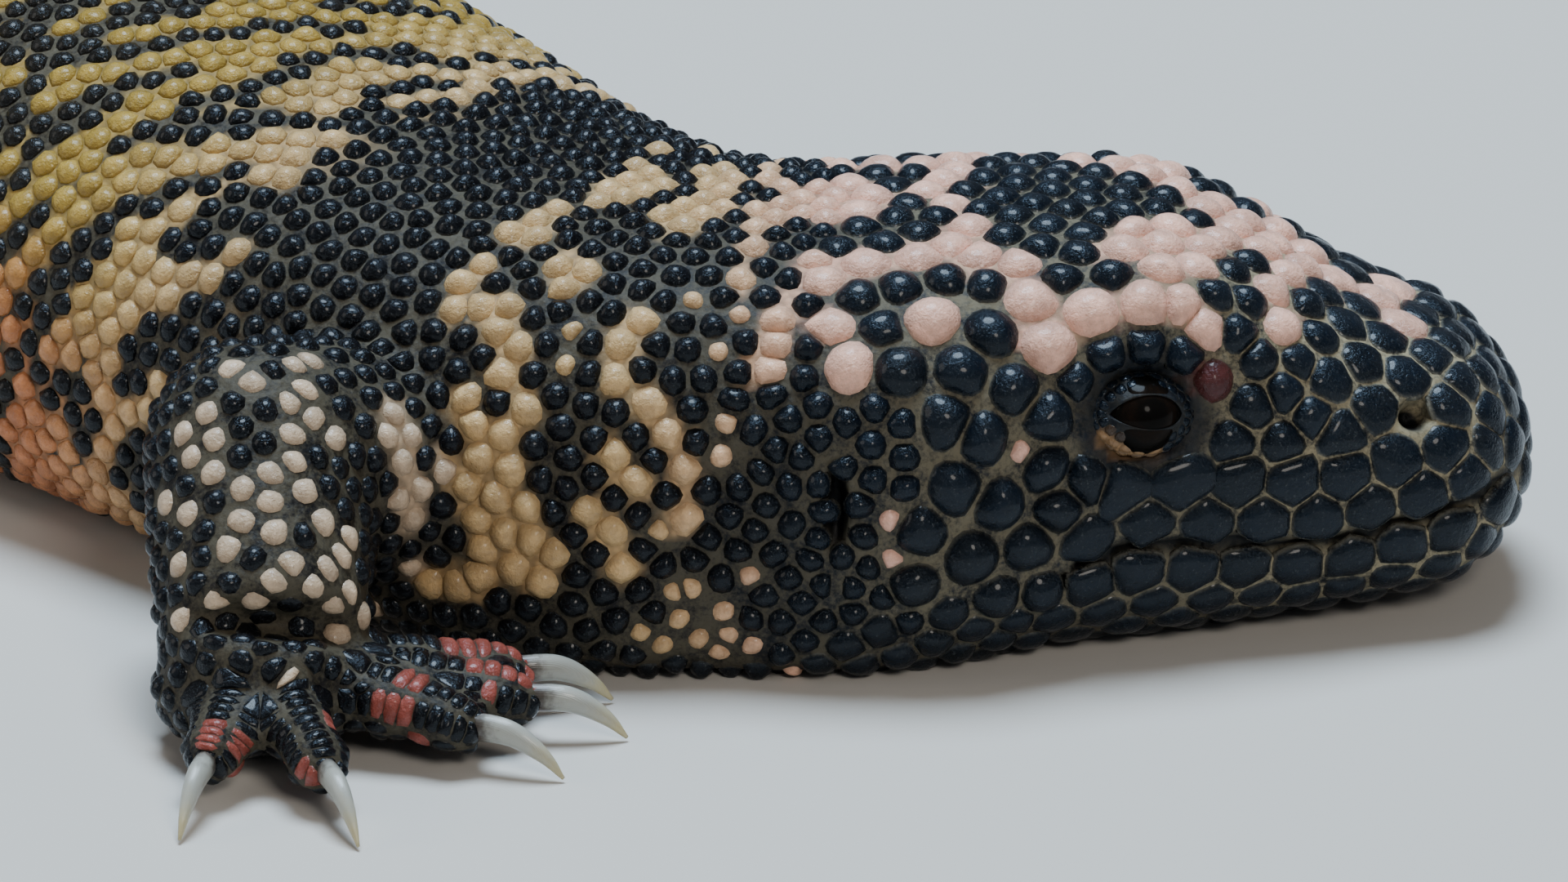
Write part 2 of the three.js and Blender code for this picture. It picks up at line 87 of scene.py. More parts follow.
class Path:
    """A smooth curve through a few points, read by the fraction of its length."""

    step = 0.004

    def __init__(self, points: Sequence[Sequence[float]], samples: int = 60) -> None:
        """Fits the curve.

        Args:
            points: Places that the curve passes through, in millimetres.
            samples: Steps between two of them.
        """
        p = np.asarray(points, float)
        p = np.vstack([2 * p[0] - p[1], p, 2 * p[-1] - p[-2]])
        t = np.linspace(0, 1, samples, endpoint=False)[:, None]
        made = []
        for a, b, c, d in zip(p, p[1:], p[2:], p[3:]):
            ab, bc, cd = (max(np.linalg.norm(w), 1e-6) ** 0.5 for w in (b - a, c - b, d - c))
            leave = ((b - a) / ab - (c - a) / (ab + bc) + (c - b) / bc) * bc
            reach = ((c - b) / bc - (d - b) / (bc + cd) + (d - c) / cd) * bc
            made.append((2 * t**3 - 3 * t**2 + 1) * b + (t**3 - 2 * t**2 + t) * leave
                        + (3 * t**2 - 2 * t**3) * c + (t**3 - t**2) * reach)
        self.points = np.vstack([*made, p[-2:-1]])
        steps = np.linalg.norm(np.diff(self.points, axis=0), axis=1)
        self.places = np.concatenate([[0.0], np.cumsum(steps)]) / steps.sum()

    def at(self, t: Array) -> Array:
        """Returns the points at fractions t of the length."""
        return np.stack([np.interp(t, self.places, self.points[:, k]) for k in range(3)], -1)

    def along(self, t: Array) -> Array:
        """Returns the unit directions at fractions t of the length."""
        return unit(self.at(np.minimum(t + self.step, 1)) - self.at(np.maximum(t - self.step, 0)))


@dataclass
class TrunkForm:
    """Head, neck, body and tail as one length with a changing girth, in millimetres.

    A swelling is: distance from the snout, degrees up the side, length, height in degrees, and how
    far it stands out. A mouth row is: distance from the snout, and the height of the mouth line.
    """

    head_length: float = 61.0
    head_half_width: float = 24.0
    head_top: float = 34.5
    neck_end: float = 98.0
    torso_end: float = 292.0
    length: float = 442.0
    torso_half_width: float = 37.0
    torso_top: float = 45.0
    tail_half_width: float = 17.0
    belly_sink: float = -1.5
    snout_rounding: float = 9.0
    tail_rounding: float = 12.0
    eye_place: float = 34.0
    eye_up: float = 19.0
    eye_radius: float = 3.4
    eye_sink: float = 1.6
    nostril_place: float = 10.5
    nostril_up: float = 32.0
    ear_place: float = 58.0
    ear_up: float = 5.0
    mouth_end: float = 43.0
    read_steps: int = 885
    read_block: int = 4000
    swellings: tuple[tuple[float, ...], ...] = (
        (31, 52, 8, 16, 1.3), (33, 24, 6, 12, -1.0), (51, 8, 9, 34, 1.4), (7, 62, 4, 26, 0.9),
        (15, 85, 5, 30, -0.6), (66, 0, 4, 45, -1.3), (80, -35, 13, 25, 2.2), (62, -44, 13, 20, 2.6),
    )
    mouth_rows: tuple[tuple[float, float], ...] = (
        (-7, 13.6), (3, 12.6), (9, 10.8), (18, 9.3), (26, 10.0), (35, 10.6), (39, 9.4), (43, 6.5),
    )

    def __post_init__(self) -> None:
        """Lays the spine, and girth rows of: distance from the snout, half width, top, bottom, height
        of the widest place, and how square the section is above and below it."""
        self.spine = Path((
            (63, 26, 0), (40, 26, 0), (20, 25.5, 0), (4, 25, 0), (-11, 27.5, 0),
            (-26, 37, 0), (-44, 56, 0), (-71, 86, 0), (-101, 115, 0), (-136, 142, 0),
            (-172, 162, 0), (-206, 179, 0), (-245, 189, 0), (-284, 186, 0), (-317, 169, 0),
        ))
        wide, top, sink = self.head_half_width, self.head_top, self.belly_sink
        body, back, tail = self.torso_half_width, self.torso_top, self.tail_half_width
        self.girth = np.array((
            (0, 15, 22, 3.5, 11, 2.3, 2.4),
            (7, 15, 23, 1.2, 11, 2.5, 2.7),
            (18, 17.5, 28.5, 0, 11.5, 2.7, 3),
            (32, 20.5, top - 0.5, -1, 12, 2.9, 3.3),
            (50, wide, top, sink, 13, 2.8, 3.4),
            (self.head_length + 2, wide + 1.5, top, sink, 12, 2.6, 3.2),
            (80, wide + 4.5, top + 0.5, sink, 12, 2.5, 3.2),
            (self.neck_end, 31, 37, sink, 13, 2.4, 3),
            (125, 34, 41.5, sink, 15, 2.2, 3),
            (185, body, back, sink, 16, 2.2, 3),
            (240, body - 3, back - 2, sink, 16, 2.2, 3),
            (275, 26, 37, sink, 14, 2.2, 2.8),
            (self.torso_end, 20, 32, sink, 13, 2.1, 2.6),
            (325, tail, 28.5, sink, 13, 2.1, 2.5),
            (375, tail - 1.5, 26, sink, 12, 2.1, 2.5),
            (415, 11.5, 19, sink, 9, 2, 2.3),
            (self.length, 8, 13, -0.5, 6, 2, 2.1),
        ), float)

    def girth_at(self, s: Array, column: int) -> Array:
        """Reads one girth column smoothly between its rows.

        Args:
            s: Distances from the snout.
            column: The column's number.

        Returns:
            One value for each distance.
        """
        rows = self.girth
        i = np.clip(np.searchsorted(rows[:, 0], s, side="left") - 1, 0, len(rows) - 2)
        order = np.arange(len(rows))
        before, after = np.maximum(order - 1, 0), np.minimum(order + 1, len(rows) - 1)
        slope = (rows[after, column] - rows[before, column]) / (rows[after, 0] - rows[before, 0])
        span = rows[i + 1, 0] - rows[i, 0]
        t = np.clip((s - rows[i, 0]) / span, 0, 1)
        return ((2 * t**3 - 3 * t**2 + 1) * rows[i, column] + (t**3 - 2 * t**2 + t) * span * slope[i]
                + (3 * t**2 - 2 * t**3) * rows[i + 1, column] + (t**3 - t**2) * span * slope[i + 1])

    def frame_at(self, s: Array) -> tuple[Array, Array]:
        """Finds the spine and its right side.

        Args:
            s: Distances from the snout.

        Returns:
            The spine's points, and the directions to the animal's right.
        """
        t = np.clip(np.asarray(s, float) / self.length, 0, 1)
        way = self.spine.along(t)
        return self.spine.at(t), np.stack([-way[..., 1], way[..., 0], np.zeros_like(t)], -1)

    def point(self, s: Array, angle: Array, grow: float = 0.0, floor: float = 0.0) -> Array:
        """Returns points of the surface.

        Args:
            s: Distances from the snout.
            angle: Turns from the animal's right side over its back, in radians.
            grow: How far outside the solid the points lie.
            floor: Lowest height that a point may have.

        Returns:
            One point for each pair, in millimetres.
        """
        s, angle = np.broadcast_arrays(np.asarray(s, float), np.asarray(angle, float))
        at, right = self.frame_at(s)
        front = np.clip(s / self.snout_rounding, 0, 1)
        back = np.clip((self.length - s) / self.tail_rounding, 0, 1)
        rounding = np.sqrt(1 - (1 - front) ** 2.2) * np.sqrt(1 - (1 - back) ** 2)
        middle = self.girth_at(s, 4)
        turn = (angle + math.pi / 2) % FULL_TURN - math.pi / 2
        above = np.sin(turn) >= 0
        power = 2 / np.where(above, self.girth_at(s, 5), self.girth_at(s, 6))
        rise = np.where(above, self.girth_at(s, 2) - middle, middle - self.girth_at(s, 3))
        across = self.girth_at(s, 1) * rounding * np.sign(np.cos(turn)) * np.abs(np.cos(turn)) ** power
        height = rise * rounding * np.sign(np.sin(turn)) * np.abs(np.sin(turn)) ** power
        up = np.degrees(np.where(turn > math.pi / 2, math.pi - turn, turn))
        swell = sum(far * np.exp(-(((s - place) / length) ** 2) - ((up - high) / spread) ** 2)
                    for place, high, length, spread, far in self.swellings)
        out = 1 + (swell * rounding + grow) / np.maximum(np.hypot(across, height), 1e-6)
        made = at + right * (across * out)[..., None]
        made[..., 2] = np.maximum(middle + height * out, floor)
        return made

    def out(self, s: Array, angle: Array) -> Array:
        """Finds which way the surface faces.

        Args:
            s: Distances from the snout.
            angle: Turns from the animal's right side over its back, in radians.

        Returns:
            One outward direction for each pair.
        """
        s, angle = np.asarray(s, float), np.asarray(angle, float)
        ahead = self.point(s - 0.5, angle) - self.point(s + 0.5, angle)
        above = self.point(s, angle + 0.02) - self.point(s, angle - 0.02)
        return unit(np.cross(ahead, above))

    def on_side(self, side: str, s: float, up: float) -> tuple[Array, Array]:
        """Returns a point of one side and the direction out of it, up being in degrees."""
        angle = math.radians(up if side == "right" else 180 - up)
        return self.point(s, angle), self.out(s, angle)

    def nostril(self, side: str) -> tuple[Array, Array]:
        """Returns the middle of a nostril and the direction out of it."""
        return self.on_side(side, self.nostril_place, self.nostril_up)

    def ear(self, side: str, lift: float = 0.0) -> tuple[Array, Array]:
        """Returns a point of an ear slit, lift degrees over its middle, and the direction out of it."""
        return self.on_side(side, self.ear_place, self.ear_up + lift)

    def eye(self, side: str) -> tuple[Array, Array]:
        """Returns the middle of an eye and the direction that it looks in."""
        at, out = self.on_side(side, self.eye_place, self.eye_up)
        return at - out * self.eye_sink, out

    def read(self, points: Array) -> tuple[Array, Array, Array]:
        """Finds where points lie along and round the trunk.

        Args:
            points: Places in millimetres.

        Returns:
            Distances from the snout, heights up the side in degrees (over 90 on the left side), and
            how far outside the section they lie.
        """
        steps = np.linspace(0, self.length, self.read_steps)
        at, right = self.frame_at(steps)
        nearest = np.concatenate([
            np.argmin(((block[:, None, :2] - at[None, :, :2]) ** 2).sum(-1), 1)
            for block in np.array_split(points, max(len(points) // self.read_block, 1))
        ])
        s = steps[nearest]
        across = ((points - at[nearest]) * right[nearest]).sum(-1)
        height = points[:, 2] - self.girth_at(s, 4)
        up = np.degrees(np.arctan2(height, across))
        up = np.where(up < -90, up + 360, up)
        rise = np.where(height >= 0, self.girth_at(s, 2) - self.girth_at(s, 4), self.girth_at(s, 4))
        power = np.where(height >= 0, self.girth_at(s, 5), self.girth_at(s, 6))
        wide, high = np.abs(across / self.girth_at(s, 1)), np.abs(height / rise)
        level = (wide**power + high**power) ** (1 / power)
        return s, up, (level - 1) * np.hypot(across, height)

    def mouth_height(self, s: Array) -> Array:
        """Returns the height of the mouth line at distances s from the snout."""
        rows = np.array(self.mouth_rows)
        return np.interp(s, rows[:, 0], rows[:, 1])

    def side_point(self, side: str, s: float, height: float) -> Array:
        """Finds a place on one side of the head by its height.

        Args:
            side: The side's name.
            s: Distance from the snout.
            height: Height above the ground.

        Returns:
            The point of the surface nearest to that height.
        """
        turns = np.radians(np.linspace(-70, 85, 311))
        angles = turns if side == "right" else math.pi - turns
        points = self.point(np.full_like(angles, s), angles)
        return points[np.argmin(np.abs(points[:, 2] - height))]


@dataclass
class LimbForm:
    """A leg from inside the trunk to the claws, in millimetres; headings are degrees from +X."""

    side: str
    upper: str
    lower: str
    end: str
    root: Sequence[float]
    bend: Sequence[float]
    ankle: Sequence[float]
    sole: Sequence[float]
    radii: Sequence[float]
    heading: float
    digits: Sequence[float]
    reach: Sequence[float]
    width: float = 2.9
    claw_length: float = 8.0
    claw_radius: float = 1.15
    sole_size: tuple[float, float, float] = (8.6, 8.6, 4.5)

    def __post_init__(self) -> None:
        """Turns the joints' places into arrays."""
        for key in ("root", "bend", "ankle", "sole"):
            setattr(self, key, np.array(getattr(self, key), float))

    def nodes(self) -> list[str]:
        """Returns the names of the solids of flesh that this leg stands for."""
        return [f"{self.side}_{part}" for part in (self.upper, self.lower, self.end)]

    def claw_node(self, i: int) -> str:
        """Returns the name of a claw's solid."""
        return f"{self.side}_{self.end}_claw_{i + 1}"

    def from_sole(self, i: int, far: float, height: float) -> Array:
        """Returns a point over the line of digit i, so far from the middle of the sole."""
        turn = math.radians(self.heading + self.digits[i])
        return np.array([self.sole[0] + math.cos(turn) * far, self.sole[1] + math.sin(turn) * far, height])

    def digit(self, i: int) -> Path:
        """Lays a digit.

        Args:
            i: The digit's number.

        Returns:
            Its middle line.
        """
        far = self.reach[i]
        return Path([self.from_sole(i, r, z) for r, z in
                     ((3, 4.6), (far * 0.45, 5.0), (far * 0.75, 4.4), (far, 3.1))])

    def claw(self, i: int) -> Path:
        """Lays a claw.

        Args:
            i: The number of its digit.

        Returns:
            Its middle line.
        """
        far, length = self.reach[i] - 1.2, self.claw_length
        return Path([self.from_sole(i, far + length * t, z) for t, z in
                     ((0, 3.9), (0.45, 3.6), (0.8, 2.0), (1, 0.35))])

    def lengths(self) -> list[tuple[Path, Sequence[float]]]:
        """Lays the upper leg, lower leg, wrist and digits.

        Returns:
            The middle line and the radii of each.
        """
        r0, r1, r2, r3 = self.radii
        middle = (self.bend + self.ankle) / 2
        made = [
            (Path([self.root, (self.root + self.bend) / 2, self.bend]), (r0, (r0 + r1) / 2, r1)),
            (Path([self.bend, middle, self.ankle]), (r1, r2, r3)),
            (Path([self.ankle, (self.ankle + self.sole) / 2, self.sole]), (r3, r3, r3 * 0.85)),
        ]
        w = self.width
        radii = (w * 1.25, w * 1.1, w * 0.98, w * 1.06, w * 0.86, w * 1.0, w * 0.6)
        return made + [(self.digit(i), radii) for i in range(len(self.digits))]


FORE = ("upper_arm", "forearm", "hand")
HIND = ("thigh", "shin", "foot")
TRUNK = TrunkForm()
LIMBS = (
    LimbForm("right", *FORE, root=(-24, 20, 11), bend=(-43, 4.5, 19.5), ankle=(-42, -8, 8.5),
             sole=(-42.5, -9.5, 4.5), radii=(12, 9.6, 9.4, 8.9), heading=-50,
             digits=(64, 49, 31, -17, -54), reach=(22.5, 23, 19.5, 16.5, 14), width=3.1),
    LimbForm("left", *FORE, root=(-22, 54, 11), bend=(0, 68, 12.5), ankle=(15, 73, 8.5),
             sole=(18, 74, 4.5), radii=(12, 9, 8.6, 8), heading=15,
             digits=(-52, -26, 0, 24, 52), reach=(16, 19, 20, 20, 17), width=3),
    LimbForm("right", *HIND, root=(-163, 142, 14), bend=(-160, 108, 18), ankle=(-180, 94, 9),
             sole=(-183, 89, 4.5), radii=(13, 10.5, 9, 8.2), heading=-70,
             digits=(52, 27, 2, -24, -54), reach=(15, 19, 21, 22, 18)),
    LimbForm("left", *HIND, root=(-172, 176, 14), bend=(-155, 205, 18), ankle=(-172, 222, 9),
             sole=(-173, 227, 4.5), radii=(13, 10.5, 9, 8.2), heading=70,
             digits=(-52, -27, -2, 24, 54), reach=(15, 19, 21, 22, 18)),
)
TRUNK_NODES = ("head", "lower_jaw", "neck", "torso", "tail_base", "tail_end")
FLESH = (*TRUNK_NODES, *(node for limb in LIMBS for node in limb.nodes()))


def shaped_grid(name: str, rows: int, columns: int, place: Place) -> bpy.types.Object:
    """Adds a grid and lays its rows and columns on a surface, so that it closes into a shell.

    Args:
        name: The object's name.
        rows: Steps along the first direction.
        columns: Steps round the second direction, which closes on itself.
        place: Gives points in metres for fractions from 0 to 1 of both directions.

    Returns:
        The new object, with its faces pointing outwards.
    """
    bpy.ops.object.select_all(action="DESELECT")
    bpy.ops.mesh.primitive_grid_add(x_subdivisions=columns, y_subdivisions=rows, size=2)
    piece = bpy.context.object
    piece.name = name
    flat = read_points(piece.data)
    u = np.round((flat[:, 1] + 1) / 2 * rows) / rows
    v = np.round((flat[:, 0] + 1) / 2 * columns) / columns
    piece.data.vertices.foreach_set("co", place(u, v % 1.0).ravel())
    bpy.ops.object.mode_set(mode="EDIT")
    bpy.ops.mesh.select_all(action="SELECT")
    bpy.ops.mesh.remove_doubles(threshold=1e-7)
    bpy.ops.mesh.normals_make_consistent(inside=False)
    bpy.ops.object.mode_set(mode="OBJECT")
    bpy.ops.object.shade_smooth()
    return piece


def read_points(mesh: bpy.types.Mesh) -> Array:
    """Reads the places of a mesh's vertices.

    Args:
        mesh: The mesh.

    Returns:
        One row for each vertex, in metres.
    """
    co = np.empty(len(mesh.vertices) * 3)
    mesh.vertices.foreach_get("co", co)
    return co.reshape(-1, 3)


def millimetres(piece: bpy.types.Object, origin: Array) -> Array:
    """Returns the places of a piece's vertices in the forms' millimetres."""
    return (read_points(piece.data) - origin) / MM


def lay_millimetres(piece: bpy.types.Object, points: Array, origin: Array) -> None:
    """Moves a piece's vertices to places in the forms' millimetres."""
    piece.data.vertices.foreach_set("co", (points * MM + origin).ravel())


def face_middles(piece: bpy.types.Object, origin: Array) -> Array:
    """Reads the middles of a piece's faces.

    Args:
        piece: The piece.
        origin: Where the millimetres start in the row frame.

    Returns:
        One row for each face, in millimetres.
    """
    middles = np.empty(len(piece.data.polygons) * 3)
    piece.data.polygons.foreach_get("center", middles)
    return (middles.reshape(-1, 3) - origin) / MM


def tree_of(points: Array) -> KDTree:
    """Sorts points so that the nearest are found fast.

    Args:
        points: Places in millimetres.

    Returns:
        The tree, which names each point by its row.
    """
    tree = KDTree(len(points))
    for i, point in enumerate(points.tolist()):
        tree.insert(point, i)
    tree.balance()
    return tree


def write_value(mesh: bpy.types.Mesh, name: str, values: Array) -> None:
    """Stores a number or a colour for each vertex of a mesh, for its material to read.

    Args:
        mesh: The mesh.
        name: The attribute's name.
        values: One number or one colour for each vertex.
    """
    if values.ndim == 1:
        mesh.attributes.new(name, "FLOAT", "POINT").data.foreach_set("value", values.astype(np.float32))
        return
    colour = np.ones((len(values), 4), np.float32)
    colour[:, :3] = values
    mesh.attributes.new(name, "FLOAT_COLOR", "POINT").data.foreach_set("color", colour.ravel())


def tube(name: str, path: Path, radii: Sequence[float], sides: int, rows: int, grow: float,
         origin: Array) -> bpy.types.Object:
    """Adds a closed round length along a path.

    Args:
        name: The object's name.
        path: Its middle line, in millimetres.
        radii: Radii at even steps along it.
        sides: Steps round it.
        rows: Steps along it.
        grow: Added to every radius.
        origin: Where the millimetres start in the row frame.

    Returns:
        The new object.
    """
    def place(u: Array, v: Array) -> Array:
        """Lays the grid on the length, with its first and last rows drawn in to the middle line.

        Args:
            u: Fractions along the length.
            v: Fractions of a turn round it.

        Returns:
            Points in metres.
        """
        t = np.clip((u * rows - 1) / (rows - 2), 0, 1)
        ends = (u > 0.5 / rows) & (u < 1 - 0.5 / rows)
        along = path.along(t)
        upright = np.abs(along[:, 2:3]) > 0.8
        across = unit(np.cross(along, np.where(upright, [[1.0, 0, 0]], [[0, 0, 1.0]])))
        over = unit(np.cross(across, along))
        r = (np.interp(t, np.linspace(0, 1, len(radii)), radii) + grow) * ends
        turn = v * FULL_TURN
        around = across * (r * np.cos(turn))[:, None] + over * (r * np.sin(turn))[:, None]
        return (path.at(t) + around) * MM + origin

    return shaped_grid(name, rows, sides, place)


def finish_modifier(piece: bpy.types.Object, kind: str, **settings: object) -> None:
    """Adds a modifier to a piece and applies it.

    Args:
        piece: The piece.
        kind: The modifier's type.
        settings: The modifier's own settings.
    """
    bpy.ops.object.select_all(action="DESELECT")
    piece.select_set(True)
    bpy.context.view_layer.objects.active = piece
    bpy.ops.object.modifier_add(type=kind)
    modifier = piece.modifiers[-1]
    for key, value in settings.items():
        setattr(modifier, key, value)
    bpy.ops.object.modifier_apply(modifier=modifier.name)


def join_pieces(name: str, pieces: Sequence[bpy.types.Object]) -> bpy.types.Object:
    """Joins pieces into the first one and names it.

    Args:
        name: The new name.
        pieces: What is joined.

    Returns:
        The joined piece.
    """
    bpy.ops.object.select_all(action="DESELECT")
    for piece in pieces:
        piece.select_set(True)
    bpy.context.view_layer.objects.active = pieces[0]
    bpy.ops.object.join()
    pieces[0].name = name
    return pieces[0]


class Nodes:
    """Places and links the nodes of one tree."""

    def __init__(self, tree: bpy.types.NodeTree) -> None:
        """Takes an empty tree."""
        self.tree = tree

    def add(self, kind: str, inputs: dict[str | int, object] | None = None,
            **settings: object) -> bpy.types.Node:
        """Places a node.

        Args:
            kind: The node's type, without its ShaderNode beginning.
            inputs: A value, or another node's output, for each named input.
            settings: The node's own settings.

        Returns:
            The new node.
        """
        node = self.tree.nodes.new(kind if kind.startswith("Node") else "ShaderNode" + kind)
        for key, value in settings.items():
            setattr(node, key, value)
        for key, value in (inputs or {}).items():
            if isinstance(value, bpy.types.NodeSocket):
                self.tree.links.new(value, node.inputs[key])
            else:
                node.inputs[key].default_value = value
        return node

    def math(self, operation: str, a: object, b: object = 0.0, clamp: bool = False) -> bpy.types.NodeSocket:
        """Returns the result of a Math node."""
        return self.add("Math", {0: a, 1: b}, operation=operation, use_clamp=clamp).outputs[0]

    def mix(self, amount: object, a: object, b: object, blend: str = "MIX") -> bpy.types.NodeSocket:
        """Returns the colour of a Mix node."""
        return self.add("Mix", {0: amount, 6: a, 7: b}, data_type="RGBA", blend_type=blend).outputs[2]

    def spread(self, value: object, low: float, high: float, to_low: float = 0.0,
               to_high: float = 1.0) -> bpy.types.NodeSocket:
        """Returns a value moved softly from one range to another."""
        ends = {0: value, 1: low, 2: high, 3: to_low, 4: to_high}
        return self.add("MapRange", ends, interpolation_type="SMOOTHSTEP").outputs[0]

    def noise(self, place: object, scale: float, detail: float = 3.0,
              rough: float = 0.55) -> bpy.types.NodeSocket:
        """Returns noise whose lumps are 1 / scale metres across."""
        inputs = {"Vector": place, "Scale": scale, "Detail": detail, "Roughness": rough}
        return self.add("TexNoise", inputs).outputs["Fac"]

    def attribute(self, name: str, output: str = "Fac") -> bpy.types.NodeSocket:
        """Returns what one of the piece's own attributes holds."""
        return self.add("Attribute", attribute_name=name).outputs[output]

    def shaded(self, colour: object, shade: object) -> bpy.types.NodeSocket:
        """Returns a colour made lighter or darker by a value round 1."""
        grey = self.add("CombineColor", {0: shade, 1: shade, 2: shade}).outputs[0]
        return self.mix(1.0, colour, grey, "MULTIPLY")

    def dusted(self, colour: object, rough: object, cover: object, place: object,
               dust: Colour) -> bpy.types.Node:
        """Returns the group that lays dust over a colour and a roughness.

        Args:
            colour: The socket of the surface's colour.
            rough: The socket of its roughness.
            cover: The socket of how much dust there is.
            place: The socket of the places that the dust is broken up by.
            dust: The dust's colour.

        Returns:
            The group's node.
        """
        inputs = {"Colour": colour, "Roughness": rough, "Cover": cover, "Place": place,
                  "Dust colour": rgba(dust)}
        return self.add("Group", inputs, node_tree=dust_group())


def rgba(colour: Colour) -> tuple[float, float, float, float]:
    """Returns a colour with full cover."""
    return (*colour, 1.0)


def new_material(name: str) -> tuple[bpy.types.Material, Nodes]:
    """Starts a material with an empty tree.

    Args:
        name: The material's name.

    Returns:
        The material, and what places its nodes.
    """
    material = bpy.data.materials.new(name)
    material.use_nodes = True
    material.node_tree.nodes.clear()
    return material, Nodes(material.node_tree)


def dust_group() -> bpy.types.NodeTree:
    """Builds the dust that lies in the grooves of every scaly finish, once.

    Returns:
        A group that takes a colour, a roughness, a cover and a place, and puts out a dusted colour
        and roughness.
    """
    found = bpy.data.node_groups.get("dust in the grooves")
    if found:
        return found
    group = bpy.data.node_groups.new("dust in the grooves", "ShaderNodeTree")
    for name, kind in (("Colour", "NodeSocketColor"), ("Roughness", "NodeSocketFloat"),
                       ("Cover", "NodeSocketFloat"), ("Dust colour", "NodeSocketColor"),
                       ("Place", "NodeSocketVector")):
        group.interface.new_socket(name, in_out="INPUT", socket_type=kind)
    group.interface.new_socket("Colour", in_out="OUTPUT", socket_type="NodeSocketColor")
    group.interface.new_socket("Roughness", in_out="OUTPUT", socket_type="NodeSocketFloat")
    n = Nodes(group)
    given = n.add("NodeGroupInput")
    result = n.add("NodeGroupOutput")
    coarse = n.noise(given.outputs["Place"], 420, 4)
    fine = n.noise(given.outputs["Place"], 2600, 3, 0.7)
    patchy = n.math("ADD", n.math("MULTIPLY", coarse, 0.9), n.math("MULTIPLY", fine, 0.7))
    cover = n.math("MULTIPLY", given.outputs["Cover"], n.spread(patchy, 0.55, 0.95), clamp=True)
    n.tree.links.new(n.mix(cover, given.outputs["Colour"], given.outputs["Dust colour"]), result.inputs[0])
    rough = n.math("ADD", given.outputs["Roughness"], n.math("MULTIPLY", cover, 0.45), clamp=True)
    n.tree.links.new(rough, result.inputs[1])
    return group


@dataclass(frozen=True)
class ScaleFinish:
    """Scales: their own colour with painted shade toward each rim, dusty at the rims, worn and glossy on top.
    Patterns have 1 / scale metres to a lump."""

    name: str
    roughness: float = 0.17
    specular: float = 0.15
    coat: float = 0.21
    coat_roughness: float = 0.11
    # Painted reflection: the blue tint on the reflections and under the coat stands in for the blue of a
    # reflected sky.
    sheen: Colour = (0.66, 0.83, 1.0)
    dust: Colour = (0.40, 0.36, 0.27)
    dust_at_rim: float = 0.75
    worn: Colour = (0.30, 0.31, 0.30)
    wear: float = 0.14
    mottle_scale: float = 700.0
    speck_scale: float = 3800.0
    wrinkle_scale: float = 1900.0
    wrinkle: float = 0.00032

    def build(self) -> bpy.types.Material:
        """Builds the material.

        Returns:
            The material, which reads the colour with painted rim shade, and the rim and dusty attributes.
        """
        material, n = new_material(self.name)
        place = n.add("TexCoord").outputs["Object"]
        mottle = n.noise(place, self.mottle_scale, 4, 0.65)
        speck = n.noise(place, self.speck_scale, 2, 0.6)
        # The colour attribute carries each scale's own colour with painted shade toward its rim.
        base = n.shaded(n.attribute("pigment", "Color"), n.spread(mottle, 0.3, 0.75, 0.78, 1.2))
        worn = n.math("MULTIPLY", n.spread(speck, 0.58, 0.80), self.wear)
        base = n.mix(worn, base, rgba(self.worn))
        rough = n.math("ADD", n.spread(mottle, 0.35, 0.7, -0.05, 0.10), self.roughness)
        at_rim = n.spread(n.attribute("rim"), 0.84, 1.0, 0.02, self.dust_at_rim)
        cover = n.math("MULTIPLY", at_rim, n.attribute("dusty"))
        dust = n.dusted(base, rough, cover, place, self.dust)
        wrinkles = n.math("MULTIPLY", n.noise(place, self.wrinkle_scale, 4, 0.6), 0.7)
        height = n.math("ADD", wrinkles, n.math("MULTIPLY", speck, 0.3))
        bump = n.add("Bump", {"Height": height, "Strength": 0.75, "Distance": self.wrinkle})
        shader = n.add("BsdfPrincipled", {
            "Base Color": dust.outputs[0], "Roughness": dust.outputs[1], "Normal": bump.outputs[0],
            "Coat Weight": self.coat, "Coat Roughness": self.coat_roughness, "Coat Tint": rgba(self.sheen),
            "Specular IOR Level": self.specular, "Specular Tint": rgba(self.sheen),
        })
        n.add("OutputMaterial", {"Surface": shader.outputs[0]})
        return material


@dataclass(frozen=True)
class SkinFinish:
    """The skin between the scales: its own colour with painted shade in its openings, fine grains and more
    dust.
    """

    name: str
    roughness: float = 0.5
    specular: float = 0.18
    dust: Colour = (0.31, 0.265, 0.17)
    grain_scale: float = 1500.0
    wrinkle_scale: float = 1100.0
    relief: float = 0.0004

    def build(self) -> bpy.types.Material:
        """Builds the material.

        Returns:
            The material, which reads the colour with painted shade in the openings, and the attribute dusty.
        """
        material, n = new_material(self.name)
        place = n.add("TexCoord").outputs["Object"]
        grain = {"Vector": place, "Scale": self.grain_scale}
        grains = n.add("TexVoronoi", grain, feature="SMOOTH_F1").outputs["Distance"]
        wrinkles = n.noise(place, self.wrinkle_scale, 5, 0.65)
        # The colour attribute carries the skin's own colour with painted shade in the mouth line, nostrils
        # and ear slits.
        base = n.shaded(n.attribute("pigment", "Color"), n.spread(grains, 0.1, 0.7, 1.15, 0.6))
        dust = n.dusted(base, self.roughness, n.attribute("dusty"), place, self.dust)
        height = n.math("ADD", n.math("MULTIPLY", wrinkles, 0.6), n.math("MULTIPLY", grains, -0.5))
        bump = n.add("Bump", {"Height": height, "Strength": 0.6, "Distance": self.relief})
        shader = n.add("BsdfPrincipled", {
            "Base Color": dust.outputs[0], "Roughness": dust.outputs[1], "Normal": bump.outputs[0],
            "Specular IOR Level": self.specular,
        })
        n.add("OutputMaterial", {"Surface": shader.outputs[0]})
        return material


